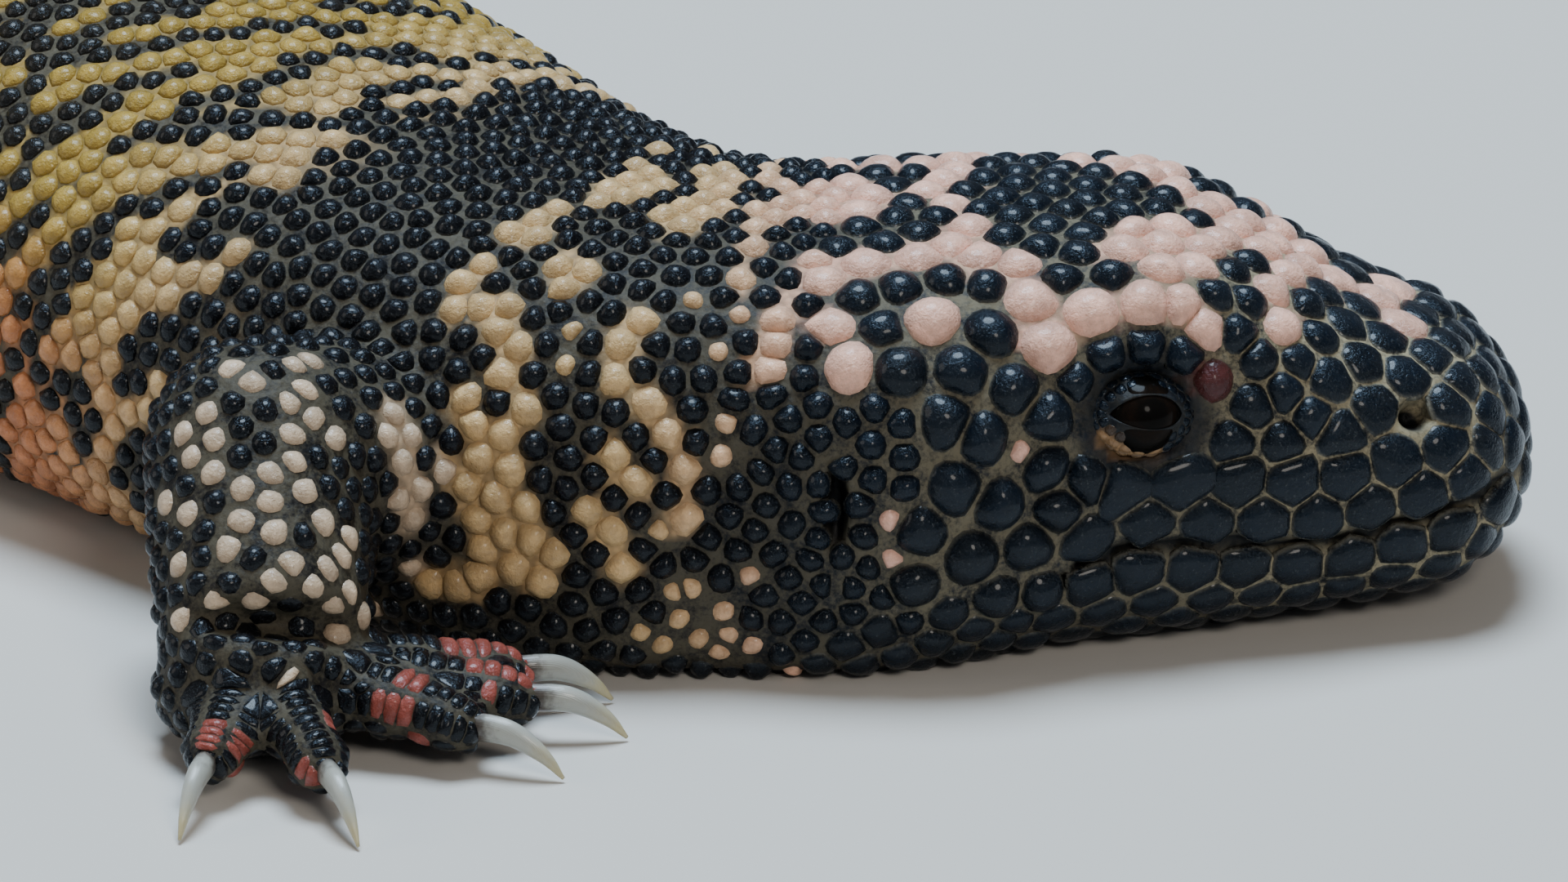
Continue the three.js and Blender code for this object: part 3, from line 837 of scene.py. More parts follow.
@dataclass(frozen=True)
class EyeFinish:
    """A wet, near black eye, a little browner round the pupil."""

    name: str
    dark: Colour = (0.004, 0.0035, 0.003)
    iris: Colour = (0.010, 0.006, 0.004)
    fibre_scale: float = 2500.0

    def build(self) -> bpy.types.Material:
        """Builds the material.

        Returns:
            The material, which reads the attribute iris.
        """
        material, n = new_material(self.name)
        place = n.add("TexCoord").outputs["Object"]
        fibres = n.spread(n.noise(place, self.fibre_scale, 4, 0.7), 0.35, 0.7, 0.3, 1.0)
        amount = n.math("MULTIPLY", n.attribute("iris"), fibres, clamp=True)
        shader = n.add("BsdfPrincipled", {
            "Base Color": n.mix(amount, rgba(self.dark), rgba(self.iris)), "Roughness": 0.16,
            "Specular IOR Level": 0.02, "Coat Weight": 0.05, "Coat Roughness": 0.05,
        })
        n.add("OutputMaterial", {"Surface": shader.outputs[0]})
        return material


@dataclass(frozen=True)
class ClawFinish:
    """Horn: dark at the root, bone white to yellow at the tip, with fine grooves along it."""

    name: str
    root: Colour = (0.06, 0.045, 0.035)
    middle: Colour = (0.36, 0.36, 0.32)
    tip: Colour = (0.48, 0.41, 0.22)
    cloud_scale: float = 900.0
    grooves: float = 75.0
    groove_depth: float = 0.0001

    def build(self) -> bpy.types.Material:
        """Builds the material.

        Returns:
            The material, which reads the attributes along and round.
        """
        material, n = new_material(self.name)
        cloud = n.noise(n.add("TexCoord").outputs["Object"], self.cloud_scale, 4, 0.6)
        drift = n.math("MULTIPLY", n.math("SUBTRACT", cloud, 0.5), 0.35)
        shifted = n.math("ADD", n.attribute("along"), drift)
        colour = n.mix(n.spread(shifted, 0.08, 0.32), rgba(self.root), rgba(self.middle))
        colour = n.mix(n.spread(shifted, 0.5, 1.0), colour, rgba(self.tip))
        grooves = n.math("SINE", n.math("MULTIPLY", n.attribute("round"), self.grooves))
        height = n.math("ADD", n.math("MULTIPLY", grooves, 0.3), cloud)
        bump = n.add("Bump", {"Height": height, "Strength": 0.25, "Distance": self.groove_depth})
        shader = n.add("BsdfPrincipled", {"Base Color": colour, "Roughness": 0.32, "Normal": bump.outputs[0],
                                          "Coat Weight": 0.3})
        n.add("OutputMaterial", {"Surface": shader.outputs[0]})
        return material


@dataclass(frozen=True)
class FloorFinish:
    """A plain pale floor."""

    name: str
    colour: Colour = (0.60, 0.57, 0.53)
    roughness: float = 0.85

    def build(self) -> bpy.types.Material:
        """Builds the material.

        Returns:
            The material, in one plain colour.
        """
        material, n = new_material(self.name)
        shader = n.add("BsdfPrincipled", {"Base Color": rgba(self.colour), "Roughness": self.roughness})
        n.add("OutputMaterial", {"Surface": shader.outputs[0]})
        return material


@dataclass(frozen=True)
class PhotoView:
    """The camera that the markings and the picture are seen from, in millimetres and degrees."""

    look: tuple[float, float, float] = (0.0, 24.0, 12.5)
    elevation: float = 22.0
    distance: float = 650.0
    mm_per_pixel: float = 0.069
    width: int = 1920
    height: int = 1080

    def axes(self) -> tuple[Array, Array, Array]:
        """Returns the directions to the right, up and away from the camera."""
        rise, run = math.sin(math.radians(self.elevation)), math.cos(math.radians(self.elevation))
        return np.array([1.0, 0, 0]), np.array([0, rise, run]), np.array([0, run, -rise])

    def eye(self) -> Array:
        """Returns the camera's place."""
        return np.array(self.look) - self.axes()[2] * self.distance

    def pixel(self, points: Array) -> Array:
        """Finds where points lie in the picture.

        Args:
            points: Places in millimetres.

        Returns:
            A column and a row for each point.
        """
        right, up, away = self.axes()
        from_eye = points - self.eye()
        scale = self.distance / self.mm_per_pixel / (from_eye @ away)
        column = self.width / 2 + from_eye @ right * scale
        return np.stack([column, self.height / 2 - from_eye @ up * scale], -1)

    def sight(self, pixel: Sequence[float]) -> Array:
        """Finds the sight line through a pixel.

        Args:
            pixel: The pixel's column and row.

        Returns:
            The unit direction from the camera.
        """
        right, up, away = self.axes()
        across = (pixel[0] - self.width / 2) * self.mm_per_pixel
        down = (pixel[1] - self.height / 2) * self.mm_per_pixel
        return unit(away * self.distance + right * across - up * down)


class Pigment(Enum):
    """The animal's colours."""

    SLATE = (0.0035, 0.0065, 0.0115)
    BLACK = (0.004, 0.0038, 0.005)
    UMBER = (0.014, 0.011, 0.008)
    PINK = (0.92, 0.50, 0.36)
    BEIGE = (0.66, 0.42, 0.19)
    TAN = (0.43, 0.27, 0.055)
    ROSE = (0.55, 0.20, 0.08)
    CREAM = (0.62, 0.44, 0.29)
    BRICK = (0.30, 0.07, 0.05)
    LID = (0.30, 0.17, 0.08)

    def rgb(self) -> Array:
        """Returns the colour as numbers."""
        return np.array(self.value)


@dataclass(frozen=True)
class Stroke:
    """A pale patch seen in the photo: its width and the points of its middle line, in photo pixels."""

    width: float
    points: tuple[tuple[float, float], ...]

    def distance(self, pixels: Array) -> Array:
        """Measures how far pixels lie outside the patch.

        Args:
            pixels: Columns and rows.

        Returns:
            One distance for each pixel, negative inside the patch.
        """
        line = np.array(self.points, float)
        if len(line) == 1:
            return np.linalg.norm(pixels - line[0], axis=1) - self.width / 2
        best = np.full(len(pixels), 1e9)
        for a, b in zip(line, line[1:]):
            t = np.clip((pixels - a) @ (b - a) / ((b - a) @ (b - a)), 0, 1)
            best = np.minimum(best, np.linalg.norm(pixels - a - t[:, None] * (b - a), axis=1))
        return best - self.width / 2


CROWN_PATCHES = (
    Stroke(42, ((898, 345), (890, 305), (925, 280), (965, 250))),
    Stroke(40, ((1010, 248), (1055, 255), (1100, 230), (1150, 203), (1190, 215))),
    Stroke(36, ((990, 332), (1030, 330), (1085, 315), (1150, 300), (1192, 288))),
    Stroke(36, ((970, 365), (950, 400), (938, 432), (922, 452))), Stroke(36, ((1010, 396),)),
    Stroke(38, ((1180, 318), (1240, 340), (1270, 370), (1305, 408), (1252, 408))),
    Stroke(36, ((1340, 382), (1400, 370), (1425, 372), (1470, 388))),
    Stroke(36, ((1205, 208), (1280, 200), (1330, 196), (1400, 206), (1460, 230), (1505, 254), (1550, 298))),
    Stroke(36, ((1340, 302), (1400, 296), (1460, 290), (1520, 288), (1545, 300))),
    Stroke(32, ((1420, 330), (1462, 322))), Stroke(32, ((1170, 264),)), Stroke(34, ((1550, 360),)),
    Stroke(34, ((1576, 394),)), Stroke(34, ((1580, 330), (1632, 326))), Stroke(32, ((1642, 356),)),
    Stroke(34, ((1696, 362), (1720, 388))),
)
NECK_PATCHES = (
    Stroke(50, ((603, 378), (622, 430), (628, 470))),
    Stroke(66, ((615, 540), (600, 600), (632, 645), (650, 690))),
    Stroke(40, ((628, 470), (640, 505), (615, 540))), Stroke(30, ((560, 490), (572, 530))),
    Stroke(46, ((770, 400), (762, 465))),
    Stroke(38, ((762, 465), (800, 505), (832, 552), (838, 600), (830, 636))),
    Stroke(38, ((745, 555), (760, 590), (782, 600))), Stroke(42, ((728, 635), (752, 672), (768, 692))),
    Stroke(56, ((700, 330),)), Stroke(34, ((635, 290), (680, 265))), Stroke(34, ((738, 232), (800, 218))),
    Stroke(48, ((825, 270), (872, 250), (892, 228))), Stroke(34, ((480, 500), (500, 560), (500, 640))),
    Stroke(34, ((545, 560), (590, 640), (605, 700))), Stroke(36, ((515, 700), (590, 722))),
    Stroke(20, ((590, 330), (570, 350), (548, 390))),
)
SINGLE_SCALES = (
    (1250, 553), (1090, 638), (1092, 685), (700, 405), (693, 447), (848, 368), (905, 385), (880, 430),
    (890, 517), (882, 558), (805, 650), (785, 775), (810, 790), (830, 757), (857, 783), (880, 798),
    (893, 778), (887, 750), (920, 790), (972, 820), (825, 725), (845, 720), (917, 705),
)
LID_CRESCENT = (Stroke(15, ((1350, 534), (1376, 553), (1416, 550))),)
TINTED_BROW = (Stroke(40, ((1472, 456),)),)
TEMPLE_SPOTS = ((1040, 450), (1140, 392))
FOREARM_SPOTS = (
    (282, 450), (309, 466), (361, 446), (379, 442), (374, 477), (357, 494), (253, 506), (359, 532),
    (224, 531), (261, 538), (383, 511), (411, 538), (234, 559), (332, 580), (361, 565), (260, 578),
    (374, 600), (298, 599), (329, 613), (229, 629), (296, 638), (336, 651), (397, 640), (428, 658),
    (279, 671), (202, 617), (218, 692), (357, 691), (403, 697), (419, 680), (336, 711), (384, 718),
    (428, 727), (264, 736), (312, 735), (412, 741), (446, 755), (220, 759), (370, 767), (412, 775),
    (458, 746), (337, 821), (352, 833), (410, 821), (426, 831), (440, 844), (475, 809), (493, 797),
    (513, 797),
)


@dataclass
class Lie:
    """Where points lie on the animal, with one value of each field for every point.

    at: Places in millimetres.
    s: Distances from the snout.
    up: Heights up the side in degrees, over 90 on the left side.
    leg: The number of the leg that each is on, or -1 for the trunk.
    length: The number of that leg's length.
    along: Fractions along that length.
    turn: Turns round it, in radians.
    """

    at: Array
    s: Array
    up: Array
    leg: Array
    length: Array
    along: Array
    turn: Array


@dataclass
class Markings:
    """Where the animal is pale: strokes and spots on the side that the photo shows, nets elsewhere.

    The fields are distances from the snout, apart from mirrored_up, in degrees, and soft_edge, in pixels.
    """

    view: PhotoView
    trunk: TrunkForm
    crown_end: float = 66.0
    net_start: float = 93.0
    net_full: float = 102.0
    mirrored_to: float = 128.0
    mirrored_up: float = 98.0
    soft_edge: float = 7.0
    band_start: float = 100.0
    band_length: float = 44.0
    tail_band_start: float = 286.0
    tail_band_length: float = 31.0

    def to_shown_side(self, lie: Lie) -> Array:
        """Finds the pixels of points, with those on the hidden side mirrored to the shown one.

        Args:
            lie: Where the points lie.

        Returns:
            A column and a row for each point.
        """
        at, right = self.trunk.frame_at(lie.s)
        across = ((lie.at - at) * right).sum(-1)
        hidden = (lie.up > self.mirrored_up) & (lie.s < self.mirrored_to)
        wobble = noise_at(lie.at, 9, 4)[:, None] * 2.5
        mirrored = lie.at - right * (2 * across)[:, None] + right * wobble
        return self.view.pixel(np.where(hidden[:, None], mirrored, lie.at))

    def strokes(self, pixels: Array, patches: Sequence[Stroke]) -> Array:
        """Returns a soft 0 to 1 cover of patches at pixels."""
        best = np.min([stroke.distance(pixels) for stroke in patches], axis=0)
        return smoothstep(best, self.soft_edge, -self.soft_edge)

    def net(self, lie: Lie) -> Array:
        """Draws the net of pale scales over body and tail, which gathers in bands.

        Args:
            lie: Where the points lie.

        Returns:
            The cover of the net, from 0 to 1.
        """
        spread = np.radians(lie.up) * self.trunk.girth_at(lie.s, 1)
        flat = np.stack([lie.s + 0.3 * spread, spread * 0.32, np.zeros_like(lie.s)], -1)
        streaks = noise_at(flat, 3.5, 2) + 0.4 * noise_at(flat, 1.9, 7)
        body_turn = (lie.s - self.band_start) / self.band_length * FULL_TURN
        tail_turn = (lie.s - self.tail_band_start) / self.tail_band_length * FULL_TURN
        body_bands = 0.13 * np.sin(body_turn + 0.8 * noise_at(lie.at, 30, 3))
        tail_bands = 1.1 * np.sin(tail_turn + 0.5 * noise_at(lie.at, 12, 5))
        bands = np.where(lie.s < self.trunk.torso_end, body_bands, tail_bands)
        return smoothstep(streaks + bands, -0.08, 0.08)

    def cover(self, lie: Lie) -> Array:
        """Finds how pale each point is.

        Args:
            lie: Where the points lie.

        Returns:
            The cover of the pale pattern, from 0 to 1.
        """
        pixels = self.to_shown_side(lie)
        crown = self.strokes(pixels, CROWN_PATCHES) * (lie.s < self.crown_end)
        drawn = np.maximum(crown, self.strokes(pixels, NECK_PATCHES))
        fade = smoothstep(lie.s, self.net_start, self.net_full)
        made = drawn * (1 - fade) + self.net(lie) * fade
        made = np.where(lie.up < -50, made * 0.6, made)
        blotches = smoothstep(noise_at(lie.at, 5.5, 11), 0.14, 0.26)
        shoulder = self.strokes(self.view.pixel(lie.at), NECK_PATCHES)
        fore = np.where(lie.leg == 0, shoulder, blotches * 0.8)
        return np.where(lie.leg < 0, made, np.where(lie.leg >= 2, blotches, fore))

    def tinted(self, lie: Lie, colour: Array) -> Array:
        """Lays on the tan of the lower lids and the purple of one brow scale.

        Args:
            lie: Where the points lie.
            colour: Their colours so far.

        Returns:
            The tinted colours.
        """
        pixels = self.to_shown_side(lie)
        near = (lie.s > 26) & (lie.s < 42)
        lid = (self.strokes(pixels, LID_CRESCENT) * near)[:, None]
        brow = (self.strokes(pixels, TINTED_BROW) * near)[:, None] * 0.3
        colour = colour * (1 - lid) + Pigment.LID.rgb() * lid
        return colour * (1 - brow) + Pigment.BRICK.rgb() * brow

    def pale_colour(self, lie: Lie) -> Array:
        """Finds the pale colour of points: pink on the head, beige, tan, then rose on the flanks.

        Args:
            lie: Where the points lie.

        Returns:
            One colour for each point.
        """
        to_neck = smoothstep(lie.s, 56, 72)[:, None]
        to_body = smoothstep(lie.s, 96, 116)[:, None]
        low = smoothstep(lie.at[:, 2] + 5 * noise_at(lie.at, 12, 9), 30, 14)[:, None]
        body = Pigment.TAN.rgb() * (1 - low) + Pigment.ROSE.rgb() * low
        front = Pigment.PINK.rgb() * (1 - to_neck) + Pigment.BEIGE.rgb() * to_neck
        trunk = front * (1 - to_body) + body * to_body
        return np.where((lie.leg >= 0)[:, None], Pigment.CREAM.rgb(), trunk)

    def dark_colour(self, lie: Lie) -> Array:
        """Finds the dark colour of points: slate on the head, black behind it, umber on the body.

        Args:
            lie: Where the points lie.

        Returns:
            One colour for each point.
        """
        black = Pigment.BLACK.rgb()
        to_neck = smoothstep(lie.s, 54, 74)[:, None]
        to_body = smoothstep(lie.s, 100, 125)[:, None]
        front = Pigment.SLATE.rgb() * (1 - to_neck) + black * to_neck
        trunk = front * (1 - to_body) + Pigment.UMBER.rgb() * to_body
        return np.where((lie.leg >= 0)[:, None], black, trunk)


@dataclass(frozen=True)
class ScaleStyle:
    """One kind of scale, in millimetres: how far apart, how high, how domed, how full its cell is,
    how sharp its corners are, how dusty its grooves, and how finely it is modelled."""

    spacing: float
    height: float
    dome: float
    fill: float
    corners: float
    dusty: float
    sides: int = 12
    rings: int = 4


class Kind(Enum):
    """The kinds of scale, by place."""

    SNOUT = ScaleStyle(4.0, 0.60, 3.4, 1.02, 14, 0.85, 20, 6)
    CROWN = ScaleStyle(3.7, 0.95, 2.5, 1.01, 6, 0.55, 18, 6)
    TEMPLE = ScaleStyle(4.8, 1.35, 2.5, 1.03, 4.8, 0.5, 18, 6)
    CHEEK = ScaleStyle(3.4, 0.75, 2.6, 1.02, 8, 0.5, 18, 6)
    JAW = ScaleStyle(4.0, 0.65, 2.8, 1.0, 9, 0.4, 18, 5)
    LIP = ScaleStyle(4.6, 0.60, 3.6, 1.02, 16, 0.45, 20, 6)
    GRAIN = ScaleStyle(1.15, 0.15, 2.2, 1.0, 7, 0.3, 10, 4)
    BROW = ScaleStyle(3.2, 1.00, 2.2, 1.0, 8, 0.4, 18, 6)
    NECK = ScaleStyle(2.6, 0.85, 2.0, 0.97, 6, 0.3, 12, 4)
    SPOT = ScaleStyle(2.4, 0.65, 2.3, 0.76, 5, 0.15, 14, 5)
    OVAL = ScaleStyle(2.8, 0.60, 2.5, 0.84, 5, 0.15, 14, 5)
    BACK = ScaleStyle(2.5, 0.65, 2.1, 0.98, 7, 0.3, 10, 3)
    BELLY = ScaleStyle(4.4, 0.35, 4.0, 1.0, 12, 0.3, 8, 3)
    TAIL = ScaleStyle(2.7, 0.60, 2.3, 0.99, 7, 0.3, 10, 3)
    ARM = ScaleStyle(2.25, 0.60, 2.2, 0.98, 6, 0.25, 10, 4)
    HAND = ScaleStyle(1.9, 0.36, 2.6, 1.03, 9, 0.3, 10, 4)
    DIGIT = ScaleStyle(1.7, 0.30, 2.8, 1.05, 10, 0.3, 10, 4)
    SCUTE = ScaleStyle(3.2, 0.42, 2.6, 1.03, 12, 0.25, 14, 4)
    PIT = ScaleStyle(3.0, 0.0, 2.0, 1.0, 6, 0.0)
    SLIT = ScaleStyle(0.6, 0.0, 2.0, 1.0, 6, 0.0)


KINDS = list(Kind)


def kind_number(kind: Kind) -> int:
    """Returns the number that stands for a kind in the lists of scales."""
    return KINDS.index(kind)


@dataclass
class Skin:
    """The one skin over head, trunk and legs, a scale's depth inside their solids, in millimetres.

    A pit is pressed in by: how deep, how wide and how high.
    """

    trunk: TrunkForm
    limbs: Sequence[LimbForm]
    origin: Array
    voxel: float = 1.1
    trunk_sink: float = 0.75
    limb_sink: float = 0.5
    digit_sink: float = 0.35
    belly_height: float = 0.35
    rows: int = 442
    columns: int = 150
    leg_steps: int = 28
    socket_depth: float = 3.2
    nostril_pit: tuple[float, float, float] = (2.2, 1.25, 0.95)
    ear_pit: tuple[float, float, float] = (1.8, 0.9, 3.2)
    mouth_depth: float = 1.0

    def trunk_place(self, u: Array, v: Array) -> Array:
        """Returns points in metres of the trunk's skin, for fractions along it and round it."""
        at = self.trunk.point(u * self.trunk.length, v * FULL_TURN, -self.trunk_sink, self.belly_height)
        return at * MM + self.origin

    def lengths(self) -> list[bpy.types.Object]:
        """Builds the closed lengths of trunk and legs, still apart.

        Returns:
            The lengths.
        """
        pieces = [shaped_grid("skin", self.rows, self.columns, self.trunk_place)]
        for limb in self.limbs:
            for i, (path, radii) in enumerate(limb.lengths()):
                sink = -self.limb_sink if i < 3 else -self.digit_sink
                pieces.append(tube("length", path, radii, self.leg_steps, self.leg_steps, sink, self.origin))
            pieces.append(self.ball(limb.bend, (limb.radii[1] - self.limb_sink,) * 3))
            pieces.append(self.ball(limb.sole, limb.sole_size))
        return pieces

    def ball(self, centre: Array, size: Sequence[float]) -> bpy.types.Object:
        """Adds a rounded joint or palm.

        Args:
            centre: Its middle.
            size: Its half sizes.

        Returns:
            The ball.
        """
        bpy.ops.object.select_all(action="DESELECT")
        bpy.ops.mesh.primitive_uv_sphere_add(segments=32, ring_count=20, radius=1)
        piece = bpy.context.object
        lay_millimetres(piece, read_points(piece.data) * np.array(size) + centre, self.origin)
        return piece

    def build(self) -> bpy.types.Object:
        """Builds the skin as one closed mesh.

        Returns:
            The skin, before its openings are pressed in.
        """
        skin = join_pieces("skin", self.lengths())
        finish_modifier(skin, "REMESH", mode="VOXEL", voxel_size=self.voxel * MM, use_smooth_shade=True)
        finish_modifier(skin, "SMOOTH", factor=0.5, iterations=4)
        co = read_points(skin.data)
        co[:, 2] = np.maximum(co[:, 2], self.belly_height * MM)
        skin.data.vertices.foreach_set("co", co.ravel())
        return skin

    def refine_near(self, skin: bpy.types.Object, places: Sequence[Array], reach: float) -> None:
        """Cuts the skin's faces finer near some places.

        Args:
            skin: The skin.
            places: The places.
            reach: How near a face has to be.
        """
        middles = face_middles(skin, self.origin)
        near = np.min([np.linalg.norm(middles - place, axis=1) for place in places], axis=0) < reach
        bpy.ops.object.select_all(action="DESELECT")
        bpy.context.view_layer.objects.active = skin
        bpy.ops.object.mode_set(mode="EDIT")
        bpy.ops.mesh.select_mode(type="FACE")
        bpy.ops.mesh.select_all(action="DESELECT")
        bpy.ops.object.mode_set(mode="OBJECT")
        skin.data.polygons.foreach_set("select", near)
        bpy.ops.object.mode_set(mode="EDIT")
        bpy.ops.mesh.subdivide(number_cuts=2)
        bpy.ops.object.mode_set(mode="OBJECT")

    def press_openings(self, skin: bpy.types.Object) -> None:
        """Presses the eye sockets, nostrils, ear slits and mouth line into the skin.

        Args:
            skin: The skin.
        """
        trunk = self.trunk
        self.refine_near(skin, [trunk.nostril(side)[0] for side in SIDES], 3.2)
        self.refine_near(skin, [trunk.ear(side, lift)[0] for side in SIDES for lift in (-6, 6)], 3.6)
        co = millimetres(skin, self.origin)
        s = trunk.read(co)[0]
        for side in SIDES:
            centre, out = trunk.eye(side)
            away = co - centre
            far = np.linalg.norm(away - (away @ out)[:, None] * out, axis=1)
            near = np.linalg.norm(away, axis=1) < 9
            co -= out * (self.socket_depth * smoothstep(far, 4.0, 2.6) * near)[:, None]
            pits = ((trunk.nostril(side), self.nostril_pit), (trunk.ear(side), self.ear_pit))
            for (centre, out), (deep, wide, high) in pits:
                away = co - centre
                reach = np.sqrt((away[:, 0] / wide) ** 2 + (away[:, 2] / high) ** 2 + (away @ out / 6) ** 2)
                co -= out * (deep * smoothstep(reach, 1.5, 0.5))[:, None]
        at, right = trunk.frame_at(s)
        outward = np.sign(((co - at) * right).sum(-1))[:, None] * right
        from_mouth = np.abs(co[:, 2] - trunk.mouth_height(s))
        depth = self.mouth_depth * smoothstep(from_mouth, 1.1, 0.1) * (s < trunk.mouth_end)
        co -= outward * (depth * smoothstep(s, 0, 6))[:, None]
        lay_millimetres(skin, co, self.origin)
        skin.data.update()


@dataclass
class Lids:
    """The soft ring of lids round each eye, in millimetres. Openings are half a length and a height,
    and a row of grains is: how far out, how many, and how high."""

    trunk: TrunkForm
    origin: Array
    opening: tuple[float, float] = (3.1, 1.55)
    outline: tuple[float, float] = (4.7, 3.6)
    rim: float = 0.26
    root: float = -0.9
    gap: float = 0.12
    grain_rows: tuple[tuple[float, int, float], ...] = ((0.50, 20, 0.26), (0.80, 21, 0.22), (1.04, 21, 0.0))

    def axes(self, side: str) -> tuple[Array, Array, Array, Array]:
        """Finds how an eye lies.

        Args:
            side: The eye's side.

        Returns:
            Its middle and the directions forwards, up and out of the head.
        """
        centre, out = self.trunk.eye(side)
        forward = unit(np.array([1.0, 0, 0]) - out * out[0])
        up = np.cross(out, forward)
        return centre, forward, up * np.sign(up[2]), out

    def surface(self, side: str, turn: Array, across: Array, lift: Array) -> Array:
        """Returns points over the lids.

        Args:
            side: Which eye.
            turn: Directions round the eye, in radians, from the front upwards.
            across: 0 at the opening, 1 at the outline.
            lift: How far above the smooth base.

        Returns:
            The points, in millimetres.
        """
        centre, forward, up, out = self.axes(side)
        almond = np.sin(turn) * np.abs(np.sin(turn)) ** 0.35 * np.where(np.sin(turn) < 0, 0.8, 1.0)
        inner = np.stack([np.cos(turn) * self.opening[0], almond * self.opening[1]], -1)
        outer = np.stack([np.cos(turn) * self.outline[0], np.sin(turn) * self.outline[1]], -1)
        flat = inner + (outer - inner) * across[..., None]
        ball = self.trunk.eye_radius + self.gap
        deep_in = np.sqrt(ball**2 - (inner**2).sum(-1))
        deep_out = self.trunk.eye_sink - 0.95 - 0.25 * np.abs(np.sin(turn))
        deep = deep_in + (deep_out - deep_in) * across**0.8 + lift
        return centre + flat[..., :1] * forward + flat[..., 1:] * up + deep[..., None] * out

    def build(self, side: str) -> bpy.types.Object:
        """Builds the lids of one eye.

        Args:
            side: The eye's side.

        Returns:
            The lids.
        """
        def place(u: Array, v: Array) -> Array:
            """Lays the grid over the lids' outside and back under them.

            Args:
                u: Fractions out over the lids and back.
                v: Fractions of a turn round the eye.

            Returns:
                Points in metres.
            """
            top = u % 1.0 < 0.5
            across = np.where(top, (u % 1.0) * 2, 2 - (u % 1.0) * 2)
            turn = v * FULL_TURN
            brow = 1 + 0.35 * np.maximum(np.sin(turn), 0)
            lift = np.where(top, self.rim * brow * np.sin(math.pi * np.clip(across, 0, 1)) ** 0.6, self.root)
            return self.surface(side, turn, across, lift) * MM + self.origin

        return shaped_grid(f"lids_{side}", 20, 64, place)

    def grains(self, side: str) -> Array:
        """Sets out the rows of tiny scales on the lids.

        Args:
            side: The eye's side.

        Returns:
            Their places.
        """
        rows = []
        for across, count, lift in self.grain_rows:
            turn = (np.arange(count) + 0.5 * (across > 0.5)) / count * FULL_TURN
            rows.append(self.surface(side, turn, np.full(count, across), np.full(count, lift)))
        return np.vstack(rows)


Sown = tuple[list[Array], list[Kind]]


@dataclass
class Seeds:
    """The middles of the scales, the number of each one's kind, whether it stays where it is when they
    are evened out, and whether it is built or only keeps an opening clear."""

    at: Array
    kind: Array
    fixed: Array
    built: Array


@dataclass
class Scales:
    """What the domes are built from, one row for each scale: where they lie, their outward directions,
    their numbers by field of ScaleStyle, how pale they are, their colours and their unwrapped places."""

    lie: Lie
    normal: Array
    style: dict[str, Array]
    pale: Array
    colour: Array
    uv: Array


